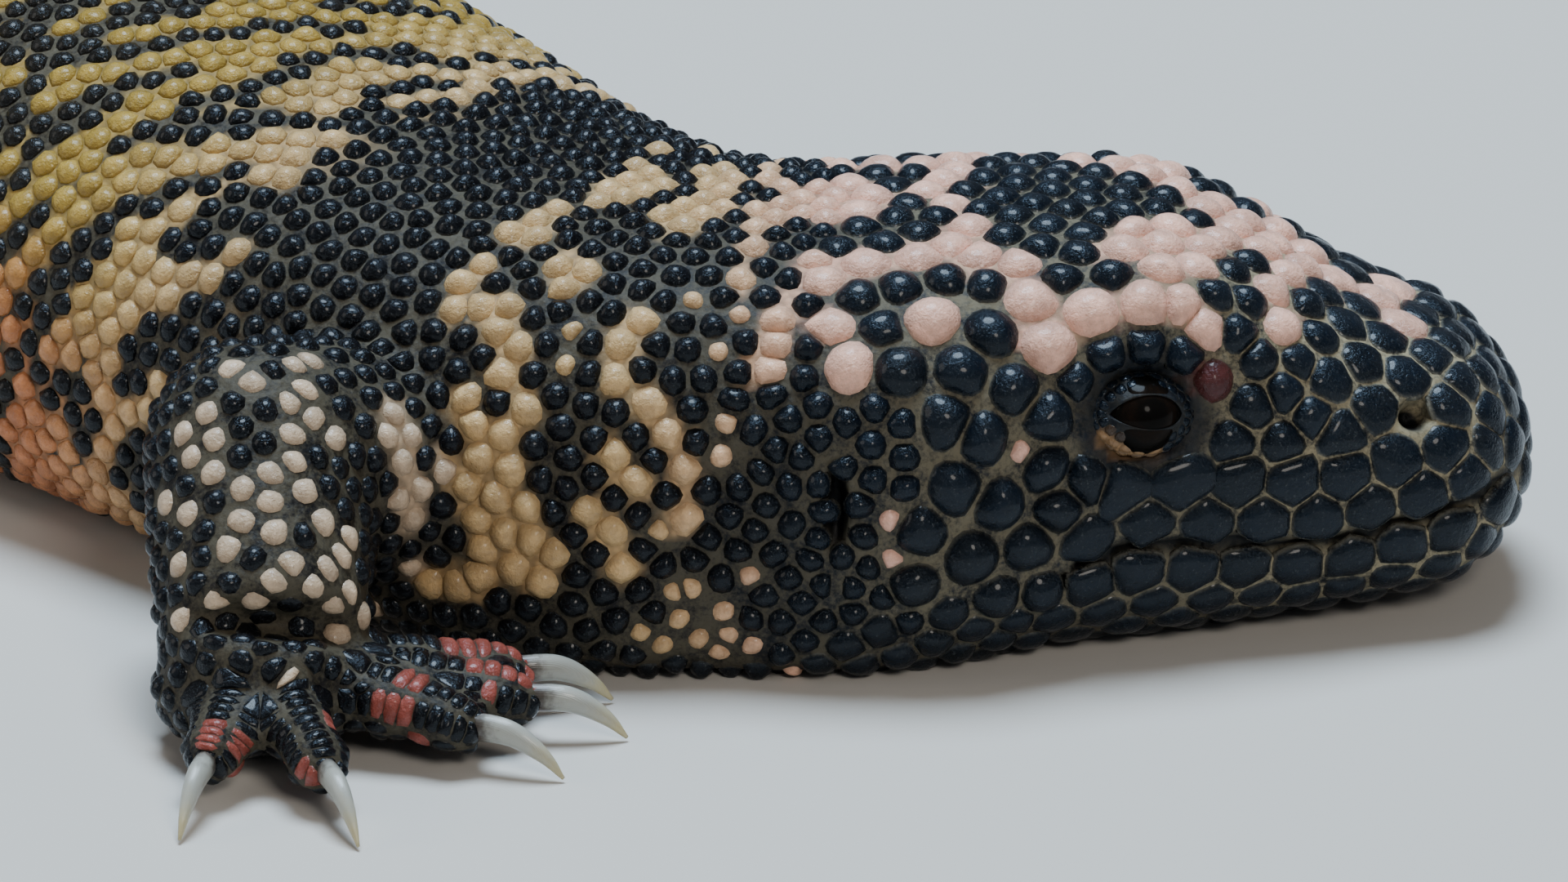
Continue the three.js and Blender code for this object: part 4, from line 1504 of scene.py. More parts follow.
@dataclass
class Coat:
    """All the scales: set out over the skin, evened out, shaped to their neighbours and coloured.

    The ends of head, neck and front back are distances from the snout. A lip row is: its height over
    the mouth line, and the distances from the snout of its scales. A dome's rings are fractions of its
    radius, by how many there are.
    """

    trunk: TrunkForm
    limbs: Sequence[LimbForm]
    lids: Lids
    markings: Markings
    origin: Array
    cover: float = 0.86
    fixed_cover: float = 0.80
    evening_rounds: int = 5
    scute_step: float = 1.55
    scute_start: float = 0.36
    neighbours: int = 16
    skin_gap: float = 0.75
    head_end: float = 60.0
    neck_end: float = 99.0
    front_end: float = 190.0
    tail_lead: float = 6.0
    patch: float = 0.0015
    lip_rows: tuple[tuple[float, tuple[float, ...]], ...] = (
        (2.0, (1.5, 5.5, 9.8, 14.2, 18.8, 23.4, 28.4, 33.6, 38.6)),
        (-2.3, (2.6, 7, 11.4, 15.8, 20.4, 25, 29.6, 34.2, 38.4)),
        (5.6, (3.5, 7.7, 12, 16.4, 21, 25.8, 30.8, 35.8)),
    )
    brow_turns: tuple[float, ...] = (152, 120, 90, 60, 30)
    scute_turns: tuple[float, ...] = (90, 22, 158)
    ring_places: tuple[tuple[float, ...], ...] = (
        (1, 0.78, 0.42), (1, 0.9, 0.66, 0.33), (1, 0.93, 0.78, 0.54, 0.27), (1, 0.95, 0.85, 0.68, 0.46, 0.23),
    )

    def __post_init__(self) -> None:
        """Starts the random draws."""
        self.rng = np.random.default_rng(SEED)

    def take_surface(self, pieces: Sequence[bpy.types.Object]) -> None:
        """Keeps the surface that the scales grow on, in millimetres.

        Args:
            pieces: The skin first, then the lids.
        """
        points, faces, start = [], [], 0
        for piece in pieces:
            co = millimetres(piece, self.origin)
            points.append(co)
            faces += [[v + start for v in face.vertices] for face in piece.data.polygons]
            start += len(co)
        self.tree = BVHTree.FromPolygons(np.vstack(points).tolist(), faces)
        self.skin = np.vstack([points[0], face_middles(pieces[0], self.origin)])

    def on_surface(self, points: Array) -> tuple[Array, Array]:
        """Returns the nearest points of the surface and their normals."""
        found = [self.tree.find_nearest(p) for p in points.tolist()]
        return np.array([f[0] for f in found]), np.array([f[1] for f in found])

    def lie_of(self, points: Array) -> Lie:
        """Finds where points of the skin lie on trunk and legs.

        Args:
            points: Places in millimetres.

        Returns:
            Where they lie.
        """
        s, up, gap = self.trunk.read(points)
        gap = gap + self.skin_gap
        best = np.minimum(gap, 3.0)
        leg, length = np.full(len(points), -1), np.zeros(len(points), int)
        along, turn = np.zeros(len(points)), np.zeros(len(points))
        for number, limb in enumerate(self.limbs):
            near = np.where(np.linalg.norm(points - limb.bend, axis=1) < 75)[0]
            for k, (path, radii) in enumerate(limb.lengths()):
                t = np.linspace(0, 1, 30)
                line = path.at(t)
                far = np.linalg.norm(points[near, None] - line[None], axis=2)
                i = np.argmin(far, 1)
                out = far[np.arange(len(near)), i] - np.interp(t[i], np.linspace(0, 1, len(radii)), radii)
                won = (out < best[near]) & ((gap[near] > 1.0) | (out < -3))
                chosen = near[won]
                best[chosen] = out[won]
                leg[chosen], length[chosen], along[chosen] = number, k, t[i[won]]
                away = points[chosen] - line[i[won]]
                way = path.along(t[i[won]])
                across = unit(np.cross(way, [0.01, 0, 1.0]))
                turn[chosen] = np.arctan2((away * np.cross(across, way)).sum(-1), (away * across).sum(-1))
        return Lie(points, s, up, leg, length, along, turn)

    def kinds_at(self, lie: Lie) -> Array:
        """Chooses the kind of scale that grows at each place, where a later rule wins.

        Args:
            lie: Where the places lie.

        Returns:
            The number of each one's kind.
        """
        s, leg, length = lie.s, lie.leg, lie.length
        lift = np.where(lie.up > 90, 180 - lie.up, lie.up)
        side = (lift > -14) & (lift <= 50)
        at_ear = (np.abs(s - self.trunk.ear_place) < 5) & (np.abs(lift - self.trunk.ear_up) < 22)
        kind = np.full(len(s), kind_number(Kind.BACK))
        rules = (
            (Kind.NECK, s < 100), (Kind.TAIL, s >= self.trunk.torso_end - self.tail_lead),
            (Kind.CHEEK, s < 59),
            (Kind.BELLY, (s > 60) & (lift < -48)), (Kind.JAW, (s < 42) & (lift <= -14)),
            (Kind.TEMPLE, (s >= 33) & (s < 54) & side), (Kind.CHEEK, (s >= 18) & (s < 33) & side),
            (Kind.CROWN, (s >= 18) & (s < 57) & (lift > 50)), (Kind.SNOUT, (s < 18) & (lift > -14)),
            (Kind.NECK, at_ear), (Kind.ARM, (leg >= 0) & (length < 2)),
            (Kind.HAND, (leg >= 0) & (length == 2)),
            (Kind.DIGIT, (leg >= 0) & (length > 2)),
        )
        for name, where in rules:
            kind[where] = kind_number(name)
        return kind

    def head_seeds(self) -> Sown:
        """Sows the scales that sit in rows of their own: lips, brows and lids.

        Returns:
            Their places and kinds.
        """
        places, kinds = [], []
        for side in SIDES:
            for lift, distances in self.lip_rows:
                for s in distances:
                    places.append(self.trunk.side_point(side, s, self.trunk.mouth_height(s) + lift))
                    kinds.append(Kind.LIP)
            centre, forward, up, out = self.lids.axes(side)
            for degrees in self.brow_turns:
                turn = math.radians(degrees)
                places.append(centre + forward * 6.6 * math.cos(turn) + up * 5.5 * math.sin(turn) + out * 1.5)
                kinds.append(Kind.BROW)
            for place in self.lids.grains(side):
                places.append(place)
                kinds.append(Kind.GRAIN)
        return places, kinds

    def seen_spots(self) -> Sown:
        """Sows the pale scales that the photo shows one by one, where its sight lines meet the skin.

        Returns:
            Their places and kinds.
        """
        places, kinds = [], []
        eye = self.markings.view.eye()
        groups = ((SINGLE_SCALES, Kind.SPOT), (FOREARM_SPOTS, Kind.OVAL), (TEMPLE_SPOTS, Kind.TEMPLE))
        for spots, kind in groups:
            for spot in spots:
                hit = self.tree.ray_cast(Vector(eye), Vector(self.markings.view.sight(spot)))[0]
                if hit is not None:
                    places.append(np.array(hit))
                    kinds.append(kind)
        return places, kinds

    def digit_scutes(self) -> Sown:
        """Sows the broad plates that lie across the digits, three abreast, row after row.

        Returns:
            Their places and kinds.
        """
        places = []
        for limb in self.limbs:
            for path, radii in limb.lengths()[3:]:
                for t in np.arange(self.scute_start, 1.0, self.scute_step / limb.reach[0]):
                    at, way = path.at(np.array([t]))[0], path.along(np.array([t]))[0]
                    across = unit(np.cross(way, [0, 0, 1.0]))
                    over = np.cross(across, way)
                    r = np.interp(t, np.linspace(0, 1, len(radii)), radii) - Skin.digit_sink
                    for degrees in self.scute_turns:
                        turn = math.radians(degrees)
                        places.append(at + r * (math.cos(turn) * across + math.sin(turn) * over))
        surface, _ = self.on_surface(np.array(places))
        kept = [p for p, q in zip(surface, places) if np.linalg.norm(p - q) < 0.8]
        return kept, [Kind.SCUTE] * len(kept)

    def openings(self) -> Sown:
        """Marks places where no scale grows, but that the scales round them keep clear of.

        Returns:
            The places, and kinds that say how much room each takes.
        """
        places, kinds = [], []
        for side in SIDES:
            places.append(self.trunk.nostril(side)[0])
            kinds.append(Kind.PIT)
            for lift in (-10, -3, 4, 11):
                places.append(self.trunk.ear(side, lift)[0])
                kinds.append(Kind.GRAIN)
            for s in np.arange(1.0, 40.0, 2.0):
                places.append(self.trunk.side_point(side, s, float(self.trunk.mouth_height(s))))
                kinds.append(Kind.SLIT)
        return places, kinds

    def clear_of_openings(self, points: Array) -> Array:
        """Finds which points lie clear of eyes, nostrils and ear slits.

        Args:
            points: Places in millimetres.

        Returns:
            True for each that does.
        """
        clear = np.ones(len(points), bool)
        for side in SIDES:
            centre, out = self.trunk.eye(side)
            clear &= np.linalg.norm(points - centre - out, axis=1) > 5.0
            clear &= np.linalg.norm(points - self.trunk.nostril(side)[0], axis=1) > 2.6
            away = (points - self.trunk.ear(side)[0]) / np.array([1.3, 5.0, 3.4])
            clear &= np.linalg.norm(away, axis=1) > 1
        return clear

    def sow(self) -> Seeds:
        """Sets scales out over the whole skin, each a spacing from the next, and evens them out.

        Returns:
            The scales' seeds, those of the photo's single scales first.
        """
        skin = self.skin
        lie = self.lie_of(skin)
        kind = self.kinds_at(lie)
        spacing = np.array([k.value.spacing for k in KINDS])[kind]
        tree = tree_of(skin)
        free = self.clear_of_openings(skin)
        places, kinds = self.seen_spots()
        self.spots = len(places)
        for more in (self.head_seeds(), self.digit_scutes()):
            places, kinds = places + more[0], kinds + more[1]
        scales = len(places)
        gaps = self.openings()
        places, kinds = places + gaps[0], kinds + gaps[1]
        for place, name in zip(places, kinds):
            for _, i, _ in tree.find_range(place, name.value.spacing * self.fixed_cover):
                free[i] = False
        on_trunk = lie.s + self.rng.random(len(skin)) * 0.4
        on_leg = 1000 + lie.leg * 200 + lie.along * 60 + lie.length * 10 + self.rng.random(len(skin)) * 2
        chosen = []
        for i in np.argsort(np.where(lie.leg < 0, on_trunk, on_leg)):
            if not free[i]:
                continue
            chosen.append(i)
            for _, j, _ in tree.find_range(skin[i], spacing[i] * self.cover):
                free[j] = False
        fixed_kinds = np.array([kind_number(k) for k in kinds])
        number = np.arange(len(places) + len(chosen))
        seeds = Seeds(
            at=np.vstack([np.array(places), skin[chosen]]), kind=np.concatenate([fixed_kinds, kind[chosen]]),
            fixed=number < len(places), built=(number < scales) | (number >= len(places)),
        )
        self.even_out(seeds, 1 / spacing**4)
        return seeds

    def even_out(self, seeds: Seeds, weight: Array) -> None:
        """Moves each free scale to the middle of the skin that lies nearest to it, a few times.

        Args:
            seeds: The scales' seeds, which are moved.
            weight: How much each point of the skin counts.
        """
        for _ in range(self.evening_rounds):
            tree = tree_of(seeds.at)
            owner = np.array([tree.find(p)[1] for p in self.skin.tolist()])
            total = np.bincount(owner, weight, len(seeds.at))
            sums = [np.bincount(owner, weight * self.skin[:, k], len(seeds.at)) for k in range(3)]
            middle = np.stack(sums, -1)
            move = (total > 0) & ~seeds.fixed
            seeds.at[move] = middle[move] / total[move, None]

    def outlines(self, scales: Scales, group: Array, sides: int, e1: Array, e2: Array) -> Array:
        """Finds each scale's radius in each direction, from the neighbours that it meets.

        Args:
            scales: All the scales.
            group: The numbers of those that are wanted.
            sides: Directions to work out.
            e1: The first direction in each wanted scale's plane.
            e2: The second one.

        Returns:
            One row of radii for each wanted scale, in millimetres.
        """
        at, normal, spacing = scales.lie.at, scales.normal, scales.style["spacing"]
        own, corners = spacing[group][:, None], scales.style["corners"][group]
        found = [self.seed_tree.find_n(p, self.neighbours) for p in at[group].tolist()]
        near = np.array([[i for _, i, _ in row] for row in found])
        away = at[near] - at[group][:, None]
        far = np.linalg.norm(away, axis=2)
        x, y = (away * e1[:, None]).sum(-1), (away * e2[:, None]).sum(-1)
        share = own / (own + spacing[near])
        turn = np.arange(sides) / sides * FULL_TURN
        flat = np.maximum(np.hypot(x, y), 1e-6)
        facing = (x[..., None] * np.cos(turn) + y[..., None] * np.sin(turn)) / flat[..., None]
        meets = (facing > 0.05) & (far > 0.2)[..., None]
        meets &= ((normal[near] * normal[group][:, None]).sum(-1) > 0.1)[..., None]
        radius = np.where(meets, (far * share)[..., None] / np.maximum(facing, 0.05), 1e3)
        sharp = corners[:, None]
        soft = (radius ** -sharp[..., None]).sum(1) ** (-1 / sharp)
        roundest = (0.5 + 0.016 * corners) * spacing[group]
        return np.minimum(soft, roundest[:, None])

    def build(self) -> list[bpy.types.Object]:
        """Builds the coat.

        Returns:
            Its pieces, region by region.
        """
        seeds = self.sow()
        at, normal = self.on_surface(seeds.at)
        normal = unit(normal)
        self.seed_tree = tree_of(at)
        lie = self.lie_of(at)
        style = {field: np.array([getattr(kind.value, field) for kind in KINDS])[seeds.kind]
                 for field in ScaleStyle.__dataclass_fields__}
        pale, colour = self.colours(lie, normal, seeds)
        scales = Scales(lie, normal, style, pale, colour, self.unwrap(lie))
        log.info("scales: %d", len(at))
        pieces = []
        for name, where in self.regions(lie, seeds):
            for sides in np.unique(style["sides"][where]):
                group = np.where(where & (style["sides"] == sides))[0]
                pieces.append(self.shape(f"{name}_{int(sides)}", group, scales))
        return pieces

    def regions(self, lie: Lie, seeds: Seeds) -> list[tuple[str, Array]]:
        """Parts the coat into regions.

        Args:
            lie: Where the scales lie.
            seeds: The scales' seeds.

        Returns:
            The name of each region that has scales, and which scales are in it.
        """
        s, trunk, tail = lie.s, lie.leg < 0, self.trunk.torso_end - self.tail_lead
        belly = seeds.kind == kind_number(Kind.BELLY)
        head = trunk & (s < self.head_end)
        upper = trunk & ~belly
        made = [("scales_head", head), ("scales_neck", upper & ~head & (s < self.neck_end)),
                ("scales_back_front", upper & (s >= self.neck_end) & (s < self.front_end)),
                ("scales_back_rear", upper & (s >= self.front_end) & (s < tail)),
                ("scales_tail", upper & (s >= tail)), ("scales_belly", trunk & ~head & belly)]
        for number, limb in enumerate(self.limbs):
            made.append((f"scales_{limb.side}_{limb.end}_leg", lie.leg == number))
        return [(name, where & seeds.built) for name, where in made if where.any()]

    def colours(self, lie: Lie, normal: Array, seeds: Seeds) -> tuple[Array, Array]:
        """Colours the scales.

        Args:
            lie: Where they lie.
            normal: Their outward directions.
            seeds: Their seeds.

        Returns:
            How pale each is, 0 or 1, and its colour.
        """
        count, leg, length = len(lie.s), lie.leg, lie.length
        cover = self.markings.cover(lie)
        pale = (cover + 0.25 * (self.rng.random(count) - 0.5) > 0.5).astype(float)
        pale[:self.spots] = 1
        hidden_arm = ((leg == 0) & ~(normal[:, 1] < 0.2) | (leg == 1)) & (length == 1)
        pale[hidden_arm & (self.rng.random(count) < 0.24)] = 1
        pale[(leg >= 2) & (length < 2) & (self.rng.random(count) < 0.05)] = 1
        pale[(leg >= 0) & (length >= 2) | (seeds.kind == kind_number(Kind.GRAIN))] = 0
        vary = 1 + 0.22 * (self.rng.random((count, 1)) - 0.5)
        light = self.markings.pale_colour(lie) * vary
        dark = self.markings.dark_colour(lie) * (1 + 0.5 * (self.rng.random((count, 1)) - 0.5))
        brick = (length > 2) & (leg >= 0) & (lie.along > 0.45) & (noise_at(lie.at, 4.0, 21) > 0.16)
        dark = np.where(brick[:, None], Pigment.BRICK.rgb() * vary, dark)
        dark = self.markings.tinted(lie, dark)
        return pale, light * pale[:, None] + dark * (1 - pale[:, None])

    def unwrap(self, lie: Lie) -> Array:
        """Lays the scales out flat: the trunk as one sheet, and a strip for each length of each leg.

        Args:
            lie: Where the scales lie.

        Returns:
            One place on the unwrap for each scale.
        """
        sheet = np.stack([0.01 + 0.98 * lie.s / self.trunk.length, 0.01 + 0.68 * ((lie.up + 90) / 360)], -1)
        starts = np.array([0.0, 0.25, 0.5, 0.6, 0.68, 0.76, 0.84, 0.92])
        widths = np.append(np.diff(starts), 0.08)
        across = 0.01 + 0.98 * (starts[lie.length] + widths[lie.length] * 0.94 * lie.along)
        strip = np.stack([across, 0.71 + 0.07 * lie.leg + 0.062 * (lie.turn + math.pi) / FULL_TURN], -1)
        return np.where((lie.leg >= 0)[:, None], strip, sheet)

    def shape(self, name: str, group: Array, scales: Scales) -> bpy.types.Object:
        """Builds the scales of one piece as small closed domes.

        Args:
            name: The piece's name.
            group: The numbers of its scales.
            scales: All the scales.

        Returns:
            The piece.
        """
        style = {field: values[group] for field, values in scales.style.items()}
        sides, rings, count = int(style["sides"][0]), int(style["rings"].max()), len(group)
        at, n = scales.lie.at[group], scales.normal[group]
        e1 = unit(np.cross(n, np.where(np.abs(n[:, :1]) < 0.9, [[1.0, 0, 0]], [[0, 1.0, 0]])))
        e2 = np.cross(n, e1)
        radius = self.outlines(scales, group, sides, e1, e2)
        fused = scales.pale[group] * (group >= self.spots) * (scales.lie.leg[group] < 0)
        fill = style["fill"] * (1 - fused) + 1.07 * fused
        radius = radius * fill[:, None] * (1 + 0.05 * (self.rng.random((count, sides)) - 0.5))
        turn = np.arange(sides) / sides * FULL_TURN
        way = e1[:, None] * np.cos(turn)[None, :, None] + e2[:, None] * np.sin(turn)[None, :, None]
        edge, _ = self.on_surface((at[:, None] + way * radius[..., None]).reshape(-1, 3))
        edge = edge.reshape(count, sides, 3)
        sag = ((edge - at[:, None]) * n[:, None]).sum(-1)
        flat = edge - at[:, None] - n[:, None] * sag[..., None]
        t = np.array(next(places for places in self.ring_places if len(places) == rings))
        mean = radius.mean(1) / (0.5 * style["spacing"])
        high = style["height"] * (0.85 + 0.3 * self.rng.random(count)) * np.clip(mean, 0.4, 1.15)
        high = high * (1 - 0.1 * fused)
        up = high[:, None] * ((1 - t[None] ** style["dome"][:, None]) ** (1 / 1.25) * 1.25 - 0.25)
        up[:, 0] = (-0.28 * high - 0.1) * (1 - 0.5 * fused)
        lean = self.rng.normal(0, 0.05, (count, 2))
        shift = (e1 * lean[:, :1] + e2 * lean[:, 1:]) * high[:, None]
        points = (at[:, None, None] + flat[:, None] * t[None, :, None, None]
                  + n[:, None, None] * (sag[:, None] * (t**2)[None, :, None] + up[:, :, None])[..., None]
                  + shift[:, None, None] * (1 - t)[None, :, None, None])
        top = at + n * high[:, None] + shift
        bottom = at + n * (sag.mean(1) - 0.5 * high - 0.3)[:, None]
        block = np.concatenate([points.reshape(count, -1, 3), top[:, None], bottom[:, None]], 1)
        block[..., 2] = np.maximum(block[..., 2], 0.02)
        mesh = self.mesh_of_domes(name, block * MM + self.origin, sides, rings)
        per = sides * rings + 2
        write_value(mesh, "rim", np.tile(np.concatenate([np.repeat(t, sides), [0.0, 1.0]]), count))
        write_value(mesh, "dusty", np.repeat(style["dusty"] * (1 - 0.75 * fused), per))
        # Painted shade: each dome's colour darkens by up to 0.22 toward its rim and underside, where it sinks
        # into the groove between scales.
        shade = 1 - 0.22 * np.concatenate([np.repeat(t**3, sides), [0.0, 1.0]])
        colour = scales.colour[group][:, None] * shade[None, :, None]
        write_value(mesh, "pigment", colour.reshape(-1, 3))
        patch = np.zeros((per, 2))
        patch[:sides * rings, 0] = (t[:, None] * np.cos(turn)).ravel()
        patch[:sides * rings, 1] = (t[:, None] * np.sin(turn)).ravel()
        uv = (scales.uv[group][:, None] + patch[None] * self.patch).reshape(-1, 2)
        corner = np.empty(len(mesh.loops), np.int32)
        mesh.loops.foreach_get("vertex_index", corner)
        mesh.uv_layers.new(name="OFBake").data.foreach_set("uv", uv[corner].ravel())
        piece = bpy.data.objects.new(name, mesh)
        bpy.context.collection.objects.link(piece)
        return piece

    def mesh_of_domes(self, name: str, blocks: Array, sides: int, rings: int) -> bpy.types.Mesh:
        """Joins many like domes in one mesh.

        Args:
            name: The mesh's name.
            blocks: For each dome, its rings from the rim up, its top and its underside, in metres.
            sides: Points in a ring.
            rings: Rings in a dome.

        Returns:
            The mesh, shaded smooth.
        """
        j = np.arange(sides)
        k = (j + 1) % sides
        quads = np.concatenate([
            np.stack([r * sides + j, r * sides + k, (r + 1) * sides + k, (r + 1) * sides + j], 1)
            for r in range(rings - 1)
        ])
        last, top, under = (rings - 1) * sides, sides * rings, sides * rings + 1
        fans = np.concatenate([np.stack([last + j, last + k, np.full(sides, top)], 1),
                               np.stack([k, j, np.full(sides, under)], 1)])
        count, per = len(blocks), sides * rings + 2
        starts = np.arange(count)[:, None, None] * per
        ends = [(faces[None] + starts).reshape(count, -1) for faces in (quads, fans)]
        corners = np.concatenate(ends, 1)
        sizes = np.tile(np.concatenate([np.full(len(quads), 4), np.full(len(fans), 3)]), count)
        mesh = bpy.data.meshes.new(name)
        mesh.vertices.add(count * per)
        mesh.vertices.foreach_set("co", blocks.ravel())
        mesh.loops.add(corners.size)
        mesh.loops.foreach_set("vertex_index", corners.ravel().astype(np.int32))
        mesh.polygons.add(len(sizes))
        mesh.polygons.foreach_set("loop_start", (np.cumsum(sizes) - sizes).astype(np.int32))
        mesh.polygons.foreach_set("use_smooth", np.ones(len(sizes), bool))
        mesh.update(calc_edges=True)
        return mesh

    def colour_skin(self, piece: bpy.types.Object) -> None:
        """Marks a piece of skin with the scales' pattern, a little darker and duller, with painted shade in
        its openings.

        Args:
            piece: The skin or one eye's lids.
        """
        trunk, markings = self.trunk, self.markings
        co = millimetres(piece, self.origin)
        lie = self.lie_of(co)
        s, leg = lie.s, lie.leg
        cover = markings.cover(lie) * ((leg < 0) | (lie.length < 2))
        light, dark = markings.pale_colour(lie) * 0.7, markings.dark_colour(lie) * 1.2
        # Painted shade: lit falls to 0 along the mouth line and inside the nostrils and ear slits, darkening
        # the colour to 0.15 of itself and taking away the dust.
        from_mouth = smoothstep(np.abs(co[:, 2] - trunk.mouth_height(s)), 0.5, 1.3)
        lit = np.where((s < trunk.mouth_end) & (leg < 0), from_mouth, 1.0)
        for side in SIDES:
            for (centre, out), wide, high in ((trunk.nostril(side), 1.0, 0.85), (trunk.ear(side), 0.8, 3.0)):
                away = co - centre
                flat = away - (away @ out)[:, None] * out
                reach = np.hypot(np.hypot(flat[:, 0], flat[:, 1]) / wide, flat[:, 2] / high)
                lit = lit * np.where(np.linalg.norm(away, axis=1) < 6, smoothstep(reach, 0.9, 1.5), 1.0)
        colour = markings.tinted(lie, dark + (light - dark) * cover[:, None])
        # The colour, darkened by the painted shade of the openings.
        write_value(piece.data, "pigment", colour * (0.15 + 0.85 * lit[:, None]))
        dusty = np.where(leg >= 0, 0.15, 0.9 - 0.5 * smoothstep(s, 20, 34) - 0.25 * smoothstep(s, 50, 62))
        lid = np.minimum.reduce([np.linalg.norm(co - trunk.eye(side)[0], axis=1) for side in SIDES])
        write_value(piece.data, "dusty", (dusty * smoothstep(lid, 5.2, 7.5) + 0.06) * lit)


@dataclass
class Eyes:
    """Two glossy eyeballs. Pupil and iris end so many degrees from the middle of the gaze."""

    trunk: TrunkForm
    origin: Array
    pupil: float = 20.0
    iris_edge: float = 42.0
    cornea: float = 0.035

    def build(self, side: str) -> bpy.types.Object:
        """Builds one eye, with the ring of its iris marked.

        Args:
            side: The eye's side.

        Returns:
            The eyeball.
        """
        centre, out = self.trunk.eye(side)
        bpy.ops.object.select_all(action="DESELECT")
        bpy.ops.mesh.primitive_uv_sphere_add(segments=64, ring_count=40, radius=self.trunk.eye_radius * MM)
        piece = bpy.context.object
        piece.name = f"eyeball_{side}"
        bpy.ops.object.shade_smooth()
        co = read_points(piece.data)
        facing = np.degrees(np.arccos(np.clip(unit(co) @ out, -1, 1)))
        cornea = 1 + self.cornea * smoothstep(facing, self.iris_edge, 0)
        piece.data.vertices.foreach_set("co", (co * cornea[:, None] + centre * MM + self.origin).ravel())
        inside = smoothstep(facing, self.iris_edge + 5, self.iris_edge)
        write_value(piece.data, "iris", smoothstep(facing, self.pupil, self.pupil + 6) * inside)
        return piece


@dataclass
class Claws:
    """The five curved claws of a foot, flattened a little from the sides."""

    limb: LimbForm
    origin: Array
    sides: int = 20
    rows: int = 30
    taper: tuple[float, ...] = (1.0, 1.02, 0.97, 0.85, 0.66, 0.42)
    tip_radius: float = 0.16
    flatten: float = 0.22

    def build(self) -> list[bpy.types.Object]:
        """Builds the claws.

        Returns:
            One piece for each claw.
        """
        made = []
        r = self.limb.claw_radius
        radii = [*(r * share for share in self.taper), self.tip_radius]
        for i in range(len(self.limb.digits)):
            path = self.limb.claw(i)
            name = f"{self.limb.claw_node(i)}_horn"
            piece = tube(name, path, radii, self.sides, self.rows, 0.0, self.origin)
            co = millimetres(piece, self.origin)
            t = np.linspace(0, 1, 60)
            line = path.at(t)
            nearest = np.argmin(((co[:, None] - line[None]) ** 2).sum(-1), 1)
            write_value(piece.data, "along", t[nearest])
            across = unit(np.cross(path.along(t[nearest]), [0, 0, 1.0]))
            width = ((co - line[nearest]) * across).sum(-1)
            write_value(piece.data, "round", width)
            lay_millimetres(piece, co - self.flatten * (width[:, None] * across), self.origin)
            made.append(piece)
        return made


@dataclass(frozen=True)
class Lamp:
    """A soft round lamp: its place and width in metres, its power in watts and its colour."""

    name: str
    place: tuple[float, float, float]
    size: float
    power: float
    colour: Colour


LAMPS = (
    Lamp("soft_top", (0.10, 0.10, 0.95), 0.46, 17.0, (0.66, 0.83, 1.0)),
    Lamp("soft_front", (0.45, -1.0, 0.75), 0.35, 5.0, (1.0, 0.93, 0.84)),
    Lamp("soft_left", (-0.9, -0.2, 0.5), 0.6, 2.5, (1.0, 0.95, 0.88)),
)


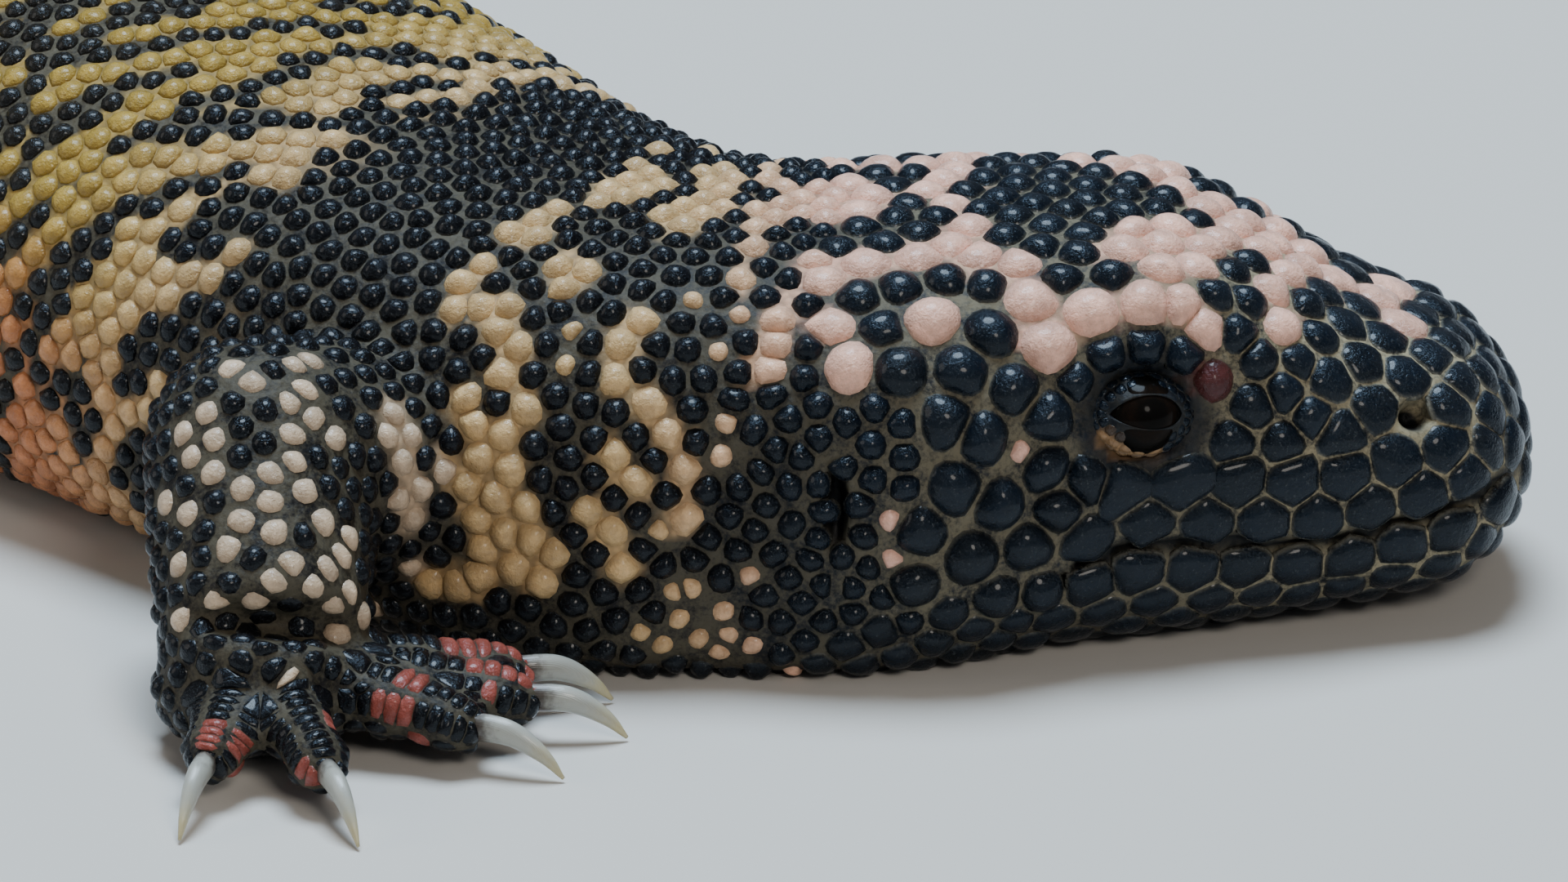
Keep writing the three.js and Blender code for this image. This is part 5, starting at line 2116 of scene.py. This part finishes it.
@dataclass
class Studio:
    """The floor, the soft lights and the camera."""

    view: PhotoView
    origin: Array
    floor_half: float = 3.0
    sensor: float = 36.0
    air: Colour = (0.80, 0.86, 0.95)
    air_strength: float = 0.13

    def build(self) -> None:
        """Sets them all up."""
        bpy.ops.object.select_all(action="DESELECT")
        bpy.ops.mesh.primitive_plane_add(size=self.floor_half * 2)
        floor = bpy.context.object
        floor.name = "floor"
        floor.data.materials.append(FloorFinish("pale floor").build())
        for lamp in LAMPS:
            self.hang(lamp)
        world = bpy.data.worlds.new("studio air")
        world.use_nodes = True
        background = world.node_tree.nodes["Background"]
        background.inputs["Color"].default_value = rgba(self.air)
        background.inputs["Strength"].default_value = self.air_strength
        bpy.context.scene.world = world
        self.camera()

    def hang(self, lamp: Lamp) -> None:
        """Adds a lamp that looks at the animal's neck.

        Args:
            lamp: The lamp's numbers.
        """
        light = bpy.data.lights.new(lamp.name, "AREA")
        light.shape = "DISK"
        light.size, light.energy, light.color = lamp.size, lamp.power, lamp.colour
        made = bpy.data.objects.new(lamp.name, light)
        target = Vector(self.origin + np.array(self.view.look) * MM)
        made.location = Vector(lamp.place)
        made.rotation_euler = (target - made.location).to_track_quat("-Z", "Y").to_euler()
        bpy.context.collection.objects.link(made)

    def camera(self) -> None:
        """Adds the camera at the photo's viewing angle and framing."""
        data = bpy.data.cameras.new("camera")
        data.sensor_width = self.sensor
        data.lens = self.sensor * self.view.distance / (self.view.width * self.view.mm_per_pixel)
        data.clip_start, data.clip_end = 0.01, 20
        camera = bpy.data.objects.new("camera", data)
        camera.location = Vector(self.origin + self.view.eye() * MM)
        camera.rotation_euler = (math.radians(90 - self.view.elevation), 0, 0)
        bpy.context.collection.objects.link(camera)
        bpy.context.scene.camera = camera


def dress(piece: bpy.types.Object, material: bpy.types.Material) -> None:
    """Gives a piece its finish and reports it.

    Args:
        piece: The piece.
        material: Its finish.
    """
    piece.data.materials.clear()
    piece.data.materials.append(material)
    log.info("%s: %d faces", piece.name, len(piece.data.polygons))


def main() -> None:
    """Builds the animal, its finishes and the studio, in order."""
    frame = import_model()
    log.info("solids: %d", len(frame["nodes"]))
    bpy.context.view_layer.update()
    low, high = (np.array(corner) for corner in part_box("eye_right"))
    origin = (low + high) / 2 - TRUNK.eye("right")[0] * MM
    view = PhotoView()

    form = Skin(TRUNK, LIMBS, origin)
    skin = form.build()
    lids = Lids(TRUNK, origin)
    lid_pieces = [lids.build(side) for side in SIDES]
    coat = Coat(TRUNK, LIMBS, lids, Markings(view, TRUNK), origin)
    coat.take_surface([skin, *lid_pieces])
    scales = coat.build()
    form.press_openings(skin)

    skin_material = SkinFinish("skin between the scales").build()
    for piece in (skin, *lid_pieces):
        coat.colour_skin(piece)
        dress(piece, skin_material)
        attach(piece, "root")
    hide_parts(*FLESH)
    scale_material = ScaleFinish("scales").build()
    for piece in scales:
        dress(piece, scale_material)
        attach(piece, "root")

    eyes = Eyes(TRUNK, origin)
    eye_material = EyeFinish("wet eye").build()
    for side in SIDES:
        piece = eyes.build(side)
        dress(piece, eye_material)
        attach(piece, "root")
        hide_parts(f"eye_{side}")
    claw_material = ClawFinish("horn").build()
    for limb in LIMBS:
        for i, piece in enumerate(Claws(limb, origin).build()):
            dress(piece, claw_material)
            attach(piece, "root")
            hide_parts(limb.claw_node(i))

    Studio(view, origin).build()


if __name__ == "__main__":
    logging.basicConfig(level=logging.INFO, format="%(message)s")
    main()
